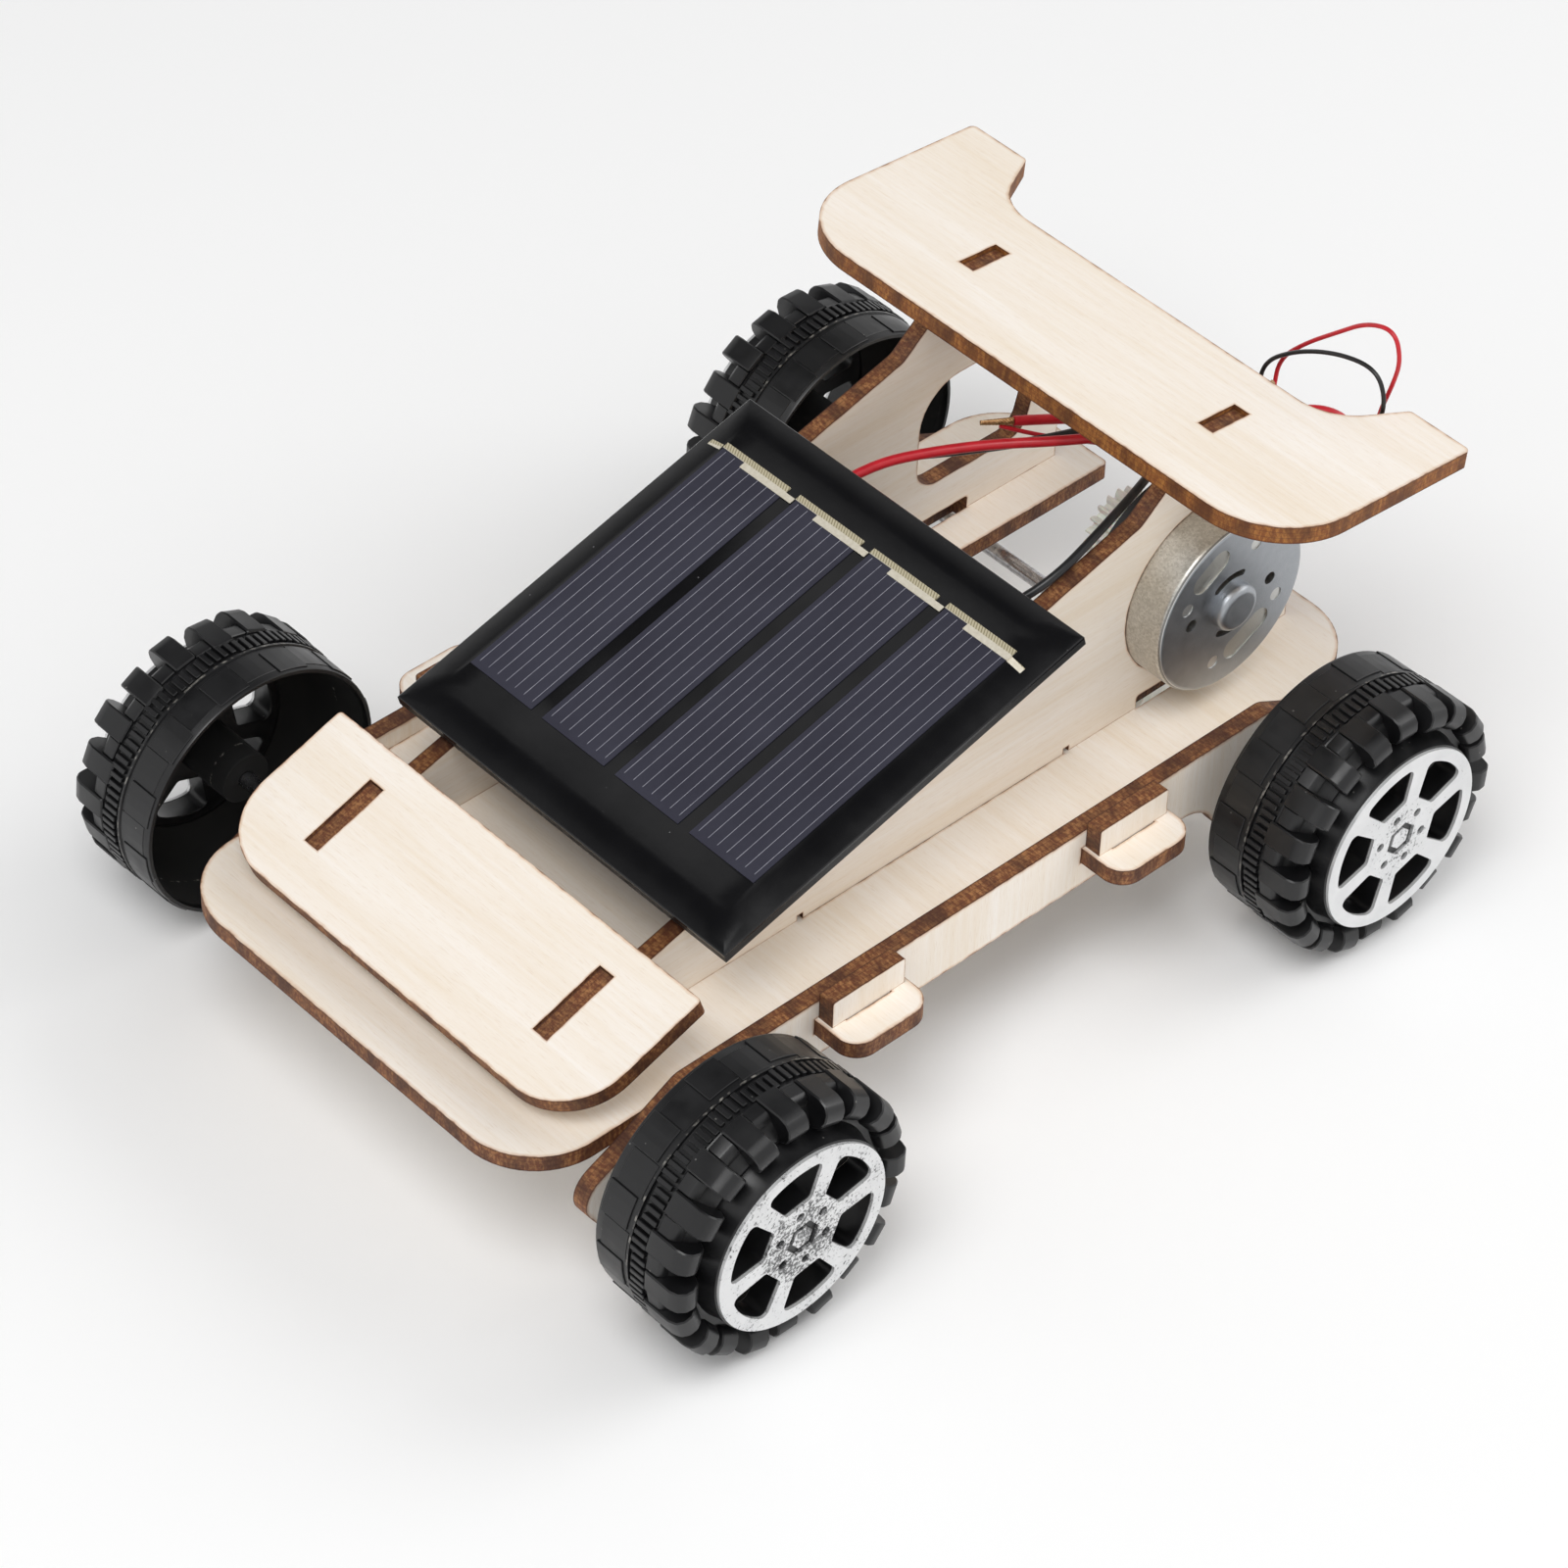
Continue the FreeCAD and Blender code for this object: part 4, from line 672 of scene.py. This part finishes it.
def set_out(tree, block_mesh, **values):
    """Runs a tree on a block and returns the plain mesh that it makes."""
    block = bpy.data.objects.new("block", block_mesh)
    host = bpy.data.objects.new("host", bpy.data.meshes.new("host"))
    for helper in (block, host):
        bpy.context.scene.collection.objects.link(helper)
    modifier = host.modifiers.new("set_out", "NODES")
    modifier.node_group = tree
    values["Block"] = block
    for socket in tree.interface.items_tree:
        label = socket.name.replace(" ", "_")
        if socket.in_out == "INPUT" and label in values:
            modifier[socket.identifier] = values[label]
    bpy.context.view_layer.update()
    graph = bpy.context.evaluated_depsgraph_get()
    mesh = bpy.data.meshes.new_from_object(host.evaluated_get(graph), depsgraph=graph)
    host.modifiers.remove(modifier)
    for helper in (block, host):
        bpy.data.objects.remove(helper)
    return mesh


def extruded(outline, axis, low, high):
    """A closed prism: a flat outline of pairs in mm, carried along an axis from low to high."""
    prism = bmesh.new()

    def corner(pair, reach):
        values = list(pair)
        values.insert(axis, reach)
        return Vector(values) * MM

    bottom = [prism.verts.new(corner(pair, low)) for pair in outline]
    top = [prism.verts.new(corner(pair, high)) for pair in outline]
    prism.faces.new(bottom)
    prism.faces.new(list(reversed(top)))
    for i in range(len(outline)):
        j = (i + 1) % len(outline)
        prism.faces.new((bottom[i], top[i], top[j], bottom[j]))
    bmesh.ops.recalc_face_normals(prism, faces=prism.faces)
    mesh = bpy.data.meshes.new("prism")
    prism.to_mesh(mesh)
    prism.free()
    return mesh


# %% Finger lines and the ribbon ends
FINGER_W, FINGER_H, FINGER_PITCH = 0.065, 0.02, 1.56
FINGERS = 7
PRINTED_SILVER = mottled("printed_silver_paste", "#B4B4BE", "#9494A0", 0.8, (0.35, 0.5), 0.3)
first = CELL_FIRST + (CELL_W - (FINGERS - 1) * FINGER_PITCH) / 2
finger = extruded([(first - FINGER_W / 2, CELL_TOP), (first + FINGER_W / 2, CELL_TOP),
                   (first + FINGER_W / 2, CELL_TOP + FINGER_H), (first - FINGER_W / 2, CELL_TOP + FINGER_H)],
                  1, CELL_FRONT + 0.9, CELL_FRONT + CELL_L - 0.3)
lines = set_out(spaced_groups_tree(), finger, Count=4 * FINGERS, In_each_group=FINGERS, Pitch=FINGER_PITCH * MM,
                Group_pitch=CELL_PITCH * MM, Material=PRINTED_SILVER)
lines.transform(PANEL_MATRIX)
finished_piece("finger_lines", lines, PRINTED_SILVER, "chassis")
print("finger lines:", 4 * FINGERS)

RIBBON_W, RIBBON_T = 0.85, 0.08


def slope_height(x):
    """Height of the resin over the ramp at this x, beside the flat top."""
    inset = PANEL_W / 2 - abs(x - PANEL_X)
    return RESIN_FOOT + 0.42 + (inset - 0.12) * (1.475 - 0.42) / (3.9 - 0.12)


def ribbon_end(x0, x1, along):
    """A stub of ribbon that dips with the resin's slope at one side of the panel."""
    outline = [(x0, slope_height(x0)), (x1, slope_height(x1)), (x1, slope_height(x1) + RIBBON_T),
               (x0, slope_height(x0) + RIBBON_T)]
    return extruded(outline, 1, along, along + RIBBON_W)


ends = bmesh.new()
row = CELL_FRONT + CELL_L
for x0, x1, along in ((-26.5, -24.3, row - 0.45), (25.1, 27.2, row - RIBBON_W)):
    ends.from_mesh(ribbon_end(x0, x1, along))
stubs = bpy.data.meshes.new("ribbon_ends")
ends.to_mesh(stubs)
ends.free()
stubs.transform(PANEL_MATRIX)
finished_piece("ribbon_ends", stubs, TINNED_RIBBON, "chassis")
print("two ribbon ends on the slopes")


# %% [markdown]
# ## Wheels
# Each wheel is one hollow moulding in black plastic: a thin drum, open towards the car, with a
# spoked disc and a hub boss. The tread has four zones, from the inside out: smooth pads, a thin
# seam, a band of fine ribs in staggered groups, and chunky lugs that stand out more and more as
# the drum curves in towards the shoulder. The drum is turned from a profile, the disc is cut
# from a flat outline, and a second Geometry Nodes tree repeats the pads, ribs and lugs.

# %% Black moulded plastic
SEAM_X = 45.2                       # how far out the drum's mould seam lies, in mm


def moulded_black():
    material, tree, shader = new_material("black_moulded_plastic")
    place = add(tree, "ShaderNodeTexCoord").outputs["Object"]
    cloud = add(tree, "ShaderNodeTexNoise", {"Vector": place, "Scale": 1 / (3.5 * MM), "Detail": 5.0}).outputs[0]
    grit = add(tree, "ShaderNodeTexNoise", {"Vector": place, "Scale": 1 / (0.12 * MM), "Detail": 2.0}).outputs[0]
    dust = add(tree, "ShaderNodeTexVoronoi", {"Vector": place, "Scale": 1 / (2.4 * MM)})
    speck = calculate(tree, "LESS_THAN", dust.outputs["Distance"], calculate(tree, "MULTIPLY", cloud, 0.09))
    base = add(tree, "ShaderNodeMix", {"Factor": cloud, "A": linear("#0C0C0D"), "B": linear("#151517")}, data_type="RGBA")
    tint = add(tree, "ShaderNodeMix", {"Factor": calculate(tree, "MULTIPLY", speck, 0.4),
                                       "A": base.outputs["Result"], "B": linear("#8C8A86")}, data_type="RGBA")
    # painted shade: the drum's inner wall, the recess round the disc and the hub boss are painted near-black, marked by
    # a value on the mesh, and are also made rougher
    inside = add(tree, "ShaderNodeAttribute", attribute_name="inside").outputs["Fac"]
    tint = add(tree, "ShaderNodeMix", {"Factor": inside, "A": tint.outputs["Result"], "B": linear("#030303")},
               data_type="RGBA")
    # a pale broken line is painted along the top of the seam ridge round the drum
    out_x = calculate(tree, "ABSOLUTE", add(tree, "ShaderNodeSeparateXYZ", {0: place}).outputs[0])
    seam = add(tree, "ShaderNodeMath", {0: out_x, 1: SEAM_X * MM, 2: 0.13 * MM}, operation="COMPARE").outputs[0]
    seam_noise = add(tree, "ShaderNodeTexNoise", {"Vector": place, "Scale": 1 / (0.9 * MM), "Detail": 4.0}).outputs[0]
    seam_pale_share = add(tree, "ShaderNodeMapRange", {"Value": seam_noise, "From Min": 0.50, "From Max": 0.66, "To Max": 0.5}).outputs[0]
    tint = add(tree, "ShaderNodeMix", {"Factor": calculate(tree, "MULTIPLY", seam_pale_share, seam),
                                       "A": tint.outputs["Result"], "B": linear("#A9A59D")}, data_type="RGBA")
    tree.links.new(tint.outputs["Result"], shader.inputs["Base Color"])
    gloss = add(tree, "ShaderNodeMapRange", {"Value": cloud, "From Min": 0.3, "From Max": 0.7,
                                             "To Min": 0.28, "To Max": 0.44})
    dull = calculate(tree, "MAXIMUM", gloss.outputs[0], calculate(tree, "MULTIPLY", inside, 0.85))
    tree.links.new(dull, shader.inputs["Roughness"])
    bump = add(tree, "ShaderNodeBump", {"Height": grit, "Strength": 0.3, "Distance": 0.012 * MM})
    tree.links.new(bump.outputs[0], shader.inputs["Normal"])
    return material


MOULDED_BLACK = moulded_black()

# %% Drum and disc of one wheel, about the X axis
DRUM_X, FACE_X = 39.7, 54.6         # open end, and front of the disc under the foil
LUG_R = 17.5
ONLY_INSIDE = 1                     # the fill that makes triangles inside the outlines only
DRUM_PROFILE = [(DRUM_X, 16.4), (DRUM_X, 16.85), (DRUM_X + 0.2, 16.95), (44.95, 16.98), (45.05, 17.2),
                (45.35, 17.2), (45.4, 16.8), (48.0, 16.8), (48.1, 16.95), (49.4, 16.6), (50.6, 16.0), (51.5, 15.1),
                (51.9, 14.2), (51.5, 13.5), (51.5, 13.1), (52.3, 12.8), (FACE_X - 0.15, 12.6), (FACE_X, 12.45),
                (FACE_X, 12.0), (51.0, 11.8), (50.4, 13.6), (48.8, 15.1), (46.0, 15.9), (41.0, 16.3)]
TURNS = 96


def turned_drum():
    drum = bmesh.new()
    rings = []
    for x, r in DRUM_PROFILE:
        rings.append([drum.verts.new(Vector((x, r * math.cos(2 * math.pi * i / TURNS), r * math.sin(2 * math.pi * i / TURNS))) * MM)
                      for i in range(TURNS)])
    for k in range(len(rings)):
        lower, upper = rings[k], rings[(k + 1) % len(rings)]
        for i in range(TURNS):
            j = (i + 1) % TURNS
            drum.faces.new((lower[i], lower[j], upper[j], upper[i]))
    bmesh.ops.recalc_face_normals(drum, faces=drum.faces)
    mesh = bpy.data.meshes.new("drum")
    drum.to_mesh(mesh)
    drum.free()
    return mesh


def circle(radius, count, phase=0.0):
    return [(radius * math.cos(2 * math.pi * i / count + phase), radius * math.sin(2 * math.pi * i / count + phase))
            for i in range(count)]


def rounded(corners, radii, steps=4):
    """A closed outline with each corner rounded by an arc of its own radius."""
    outline = []
    count = len(corners)
    for i in range(count):
        before, corner, after = (Vector(corners[(i + k) % count]) for k in (-1, 0, 1))
        a, b = (before - corner).normalized(), (after - corner).normalized()
        half = a.angle(b) / 2
        centre = corner + (a + b).normalized() * radii[i] / math.sin(half)
        start = corner + a * radii[i] / math.tan(half) - centre
        end = corner + b * radii[i] / math.tan(half) - centre
        for k in range(steps + 1):
            spoke = start.slerp(end, k / steps, start).normalized() * radii[i]
            outline.append(tuple(centre + spoke))
    return outline


def spoke_windows(r_in, half_in, r_out, half_out):
    """Six windows with a straight inner edge and an outer edge that follows the rim."""
    windows = []
    polar = [(r_in, -half_in)] + [(r_out, half_out * k / 2) for k in (-2, -1, 0, 1, 2)] + [(r_in, half_in)]
    for i in range(6):
        corners = [(r * math.cos(math.radians(60 * i + d)), r * math.sin(math.radians(60 * i + d))) for r, d in polar]
        windows.append(rounded(corners, [0.6, 0.9, 8, 8, 8, 0.9, 0.6]))
    return windows


def cut_disc(outlines, back, front, chamfer):
    """A flat plate with holes, standing across the X axis from back to front."""
    loops, points = [], []
    for outline in outlines:
        loops.append(list(range(len(points), len(points) + len(outline))))
        points += [Vector(pair) for pair in outline]
    flat, lines, triangles, *rest, owners = delaunay_2d_cdt(points, [], loops, ONLY_INSIDE, 1e-6)
    disc = bmesh.new()
    cap = [disc.verts.new(Vector((front, u, v)) * MM) for u, v in flat]
    for triangle, inside_of in zip(triangles, owners):
        if len(inside_of) == 1:     # a triangle in a window lies inside two outlines
            disc.faces.new([cap[i] for i in triangle])
    for part in bmesh.ops.extrude_face_region(disc, geom=disc.faces[:], use_keep_orig=True)["geom"]:
        if isinstance(part, bmesh.types.BMVert):
            part.co.x = back * MM
    bmesh.ops.recalc_face_normals(disc, faces=disc.faces)
    rims = [e for e in disc.edges if e.calc_face_angle(0) > 1.0 and e.verts[0].co.x == e.verts[1].co.x]
    bmesh.ops.bevel(disc, geom=rims, offset=chamfer * MM, segments=1, affect="EDGES", clamp_overlap=True)
    mesh = bpy.data.meshes.new("disc")
    disc.to_mesh(mesh)
    disc.free()
    return mesh


# %% Geometry Nodes: blocks round a drum
def round_drum_tree():
    tree, start, finish = new_tree("blocks_round_a_drum", (
        ("Block", "Object"), ("Count", "Int"), ("In each group", "Int"), ("Group shift", "Float"),
        ("First angle", "Float"), ("Material", "Material")))
    index = add(tree, "GeometryNodeInputIndex").outputs[0]
    share = calculate(tree, "DIVIDE", index, start.outputs["Count"])
    angle = calculate(tree, "ADD", calculate(tree, "MULTIPLY", share, 2 * math.pi), start.outputs["First angle"])
    group = calculate(tree, "FLOOR", calculate(tree, "DIVIDE", index, start.outputs["In each group"]))
    shift = calculate(tree, "MULTIPLY", calculate(tree, "MODULO", group, 2.0), start.outputs["Group shift"])
    place = add(tree, "ShaderNodeCombineXYZ", {0: shift}).outputs[0]
    points = add(tree, "GeometryNodePoints", {"Count": start.outputs["Count"], "Position": place})
    turn = add(tree, "ShaderNodeCombineXYZ", {0: angle}).outputs[0]
    rotation = add(tree, "FunctionNodeEulerToRotation", {0: turn}).outputs[0]
    return finish(points.outputs[0], rotation)


ROUND_DRUM = round_drum_tree()


def arched(profile, degrees, slices):
    """A block whose profile in x and radius is swept through a few degrees about the X axis."""
    block = bmesh.new()
    layers = []
    for k in range(slices + 1):
        a = math.radians(degrees * (k / slices - 0.5))
        layers.append([block.verts.new(Vector((x, r * math.cos(a), r * math.sin(a))) * MM) for x, r in profile])
    for lower, upper in zip(layers, layers[1:]):
        for i in range(len(profile)):
            j = (i + 1) % len(profile)
            block.faces.new((lower[i], lower[j], upper[j], upper[i]))
    block.faces.new(layers[0])
    block.faces.new(list(reversed(layers[-1])))
    bmesh.ops.recalc_face_normals(block, faces=block.faces)
    mesh = bpy.data.meshes.new("block")
    block.to_mesh(mesh)
    block.free()
    return mesh


def bevelled(mesh, width):
    soft = bmesh.new()
    soft.from_mesh(mesh)
    bmesh.ops.bevel(soft, geom=soft.edges[:], offset=width * MM, segments=1, affect="EDGES", clamp_overlap=True)
    soft.to_mesh(mesh)
    soft.free()
    return mesh


HIGH_PAD = arched([(40.1, 16.6), (40.1, 17.16), (44.3, 17.2), (44.3, 16.6)], 14.6, 3)
LOW_PAD = arched([(40.7, 16.6), (40.7, 17.04), (44.8, 17.07), (44.8, 16.6)], 14.6, 3)
RIB = extruded([(-0.33, 16.5), (0.33, 16.5), (0.33, 17.33), (-0.33, 17.33)], 0, 45.5, 47.7)
LUG_PROFILE = [(48.2, 16.2), (48.2, 17.3), (48.5, LUG_R - 0.06), (52.3, LUG_R - 0.06), (53.4, 17.1), (54.0, 16.3),
               (54.1, 15.2), (53.6, 14.2), (52.5, 13.6), (50.6, 14.6)]
LUG = extruded(LUG_PROFILE, 1, -1.5, 1.5)
STEP = extruded([(48.4, 16.2), (48.4, 17.2), (50.2, 17.12), (50.7, 16.7), (51.0, 15.6), (50.0, 15.6)], 1, -1.15, 1.15)
for block, width in ((HIGH_PAD, 0.07), (LOW_PAD, 0.05), (RIB, 0.08), (LUG, 0.25), (STEP, 0.12)):
    bevelled(block, width)


# %% One wheel, then four
TREAD = (  # block, how many, in each group, shift of every other group in mm, first angle in degrees
    (HIGH_PAD, 12, 1, 0.0, 0.0), (LOW_PAD, 12, 1, 0.0, 15.0), (RIB, 96, 4, 0.35, 0.0), (LUG, 20, 1, -0.5, 3.0),
    (STEP, 20, 1, -0.3, 12.0))


def wheel_mesh():
    parts = [set_out(ROUND_DRUM, block, Count=count, In_each_group=group, Group_shift=shift * MM,
                     First_angle=math.radians(first), Material=MOULDED_BLACK)
             for block, count, group, shift, first in TREAD]
    parts.append(turned_drum())
    parts.append(cut_disc([circle(12.2, 72)] + spoke_windows(5.75, 19.0, 10.8, 23.0), 51.4, FACE_X, 0.12))
    parts.append(cut_disc([circle(3.4, 36), circle(1.0, 18)], 42.7, 51.6, 0.15))
    wheel = bmesh.new()
    for part in parts:
        wheel.from_mesh(part)
    # inside marks where the material paints shade: the drum's inner wall, the recess round the disc and the hub boss
    inside = wheel.verts.layers.float.new("inside")
    for v in wheel.verts:
        radius, out = math.hypot(v.co.y, v.co.z) / MM, v.co.x / MM
        v[inside] = float((radius < 16.38 and out < 51.3) or 11.7 < radius < 12.1 or radius < 3.6)
    mesh = bpy.data.meshes.new("wheel")
    wheel.to_mesh(mesh)
    wheel.free()
    return mesh


WHEEL = wheel_mesh()
AXLES = {"front": (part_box("front_axle")[0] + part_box("front_axle")[1]) / 2,
         "rear": (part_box("rear_axle")[0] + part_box("rear_axle")[1]) / 2}
WHEEL_TURNS = {"front_right": 158, "front_left": 9.5, "rear_right": 48, "rear_left": 31}    # degrees
for end, centre in AXLES.items():
    for side, sign in (("right", 1), ("left", -1)):
        mesh = WHEEL.copy()
        turn = Matrix.Rotation(math.radians(WHEEL_TURNS[end + "_" + side]), 4, "X")
        mesh.transform(Matrix.Translation((0, centre.y, centre.z)) @ Matrix.Diagonal((sign, 1, 1, 1)) @ turn)
        if sign < 0:
            mesh.flip_normals()
        smooth_by_angle(mesh, 32)
        finished_piece("tyre_%s_%s" % (end, side), mesh, MOULDED_BLACK, end + "_axle_set",
                       ("wheel_%s_%s" % (end, side),))
print("four wheels of", sum(len(p.vertices) - 2 for p in WHEEL.polygons), "triangles")


# %% [markdown]
# ## Silver foil on the wheel faces
# The faces are hot-stamped with thin silver foil, which rubs off in specks, most of all round
# the middle and along the spokes. Each wheel wore differently, so the finish takes its amount of
# wear as a number. The wear is strongest near the hub, whose centre each material knows.

# %% Worn foil
def worn_foil(name, centre, wear):
    material, tree, shader = new_material(name)
    place = add(tree, "ShaderNodeTexCoord").outputs["Object"]
    offset = add(tree, "ShaderNodeMapping", {"Vector": place, "Location": (0, -centre.y, -centre.z)}).outputs[0]
    flat = add(tree, "ShaderNodeSeparateXYZ", {0: offset})
    y_z = add(tree, "ShaderNodeCombineXYZ", {0: flat.outputs[1], 1: flat.outputs[2]}).outputs[0]
    radius = add(tree, "ShaderNodeVectorMath", {0: y_z}, operation="LENGTH").outputs["Value"]
    near_hub = add(tree, "ShaderNodeMapRange", {"Value": radius, "From Min": 3.0 * MM, "From Max": 9.0 * MM,
                                                "To Min": 0.12, "To Max": 0.0}).outputs[0]
    fleck = add(tree, "ShaderNodeTexNoise", {"Vector": place, "Scale": 1 / (0.45 * MM), "Detail": 6.0,
                                             "Roughness": 0.75}).outputs[0]
    region = add(tree, "ShaderNodeTexNoise", {"Vector": place, "Scale": 1 / (3.5 * MM), "Detail": 2.0}).outputs[0]
    rubbed = calculate(tree, "ADD", calculate(tree, "ADD", fleck, near_hub), calculate(tree, "MULTIPLY", region, 0.30))
    gone = add(tree, "ShaderNodeMapRange", {"Value": rubbed, "From Min": 0.87 - 0.15 * wear,
                                            "From Max": 0.95 - 0.15 * wear}).outputs[0]
    sheen = add(tree, "ShaderNodeMix", {"Factor": region, "A": linear("#ECECEC"), "B": linear("#D2D3D4")}, data_type="RGBA")
    tint = add(tree, "ShaderNodeMix", {"Factor": calculate(tree, "MULTIPLY", gone, 0.85),
                                       "A": sheen.outputs["Result"], "B": linear("#232325")}, data_type="RGBA")
    tree.links.new(tint.outputs["Result"], shader.inputs["Base Color"])
    shader.inputs["Metallic"].default_value = 0.55
    gloss = add(tree, "ShaderNodeMapRange", {"Value": fleck, "From Min": 0.3, "From Max": 0.7, "To Min": 0.28, "To Max": 0.5})
    tree.links.new(gloss.outputs[0], shader.inputs["Roughness"])
    bump = add(tree, "ShaderNodeBump", {"Height": fleck, "Strength": 0.3, "Distance": 0.03 * MM})
    tree.links.new(bump.outputs[0], shader.inputs["Normal"])
    return material


WEAR = {"front_right": 1.0, "front_left": 0.6, "rear_right": 0.35, "rear_left": 0.5}
for place_name, wear in WEAR.items():
    end = place_name.split("_")[0]
    refinish(worn_foil("worn_silver_foil_" + place_name, AXLES[end], wear), "hub_face_" + place_name)
print("foil on", len(WEAR), "wheel faces")


# %% [markdown]
# ## Bare strands at the joints
# Where two leads meet, their insulation is stripped and the tinned copper strands are twisted
# together by hand. A few thin tubes wound round one line show this better than a plain rod.

# %% Twisted strands
BARE_COPPER = mottled("tinned_copper_strands", "#D9B98C", "#A9774A", 0.5, (0.25, 0.4), 1.0)


def twisted_strands(name, start, heading, length, radius, strands=5, turns=2.0):
    """Strands wound about a line, drawing closer towards its far end."""
    axis = Vector(heading).normalized()
    side = axis.orthogonal().normalized()
    other = axis.cross(side)
    rope = bmesh.new()
    steps, facets = 24, 6
    strand_r = radius * 0.42
    for s in range(strands):
        rings = []
        for k in range(steps + 1):
            t = k / steps
            lay = (radius - strand_r) * (1 - 0.45 * t)
            a = 2 * math.pi * (s / strands + turns * t)
            centre = Vector(start) + axis * length * t + (side * math.cos(a) + other * math.sin(a)) * lay
            thin = strand_r * (1 - 0.35 * t)
            rings.append([rope.verts.new((centre + (side * math.cos(b) + other * math.sin(b)) * thin) * MM)
                          for b in (2 * math.pi * f / facets for f in range(facets))])
        for lower, upper in zip(rings, rings[1:]):
            for i in range(facets):
                j = (i + 1) % facets
                rope.faces.new((lower[i], lower[j], upper[j], upper[i]))
        rope.faces.new(list(reversed(rings[0])))
        rope.faces.new(rings[-1])
    bmesh.ops.recalc_face_normals(rope, faces=rope.faces)
    mesh = bpy.data.meshes.new(name)
    rope.to_mesh(mesh)
    rope.free()
    mesh.shade_smooth()
    return mesh


finished_piece("strands_red", twisted_strands("strands_red", RED_ROUTE[-1], (-1.5, -2.5, 0.2), 4.2, 0.55), BARE_COPPER,
               "chassis", ("splice_red",))
finished_piece("strands_black", twisted_strands("strands_black", (11.8, 61.4, 48.0), (1.2, 1.4, 2.6), 6.8, 0.6), BARE_COPPER,
               "chassis", ("splice_black",))
print("two twisted joints")
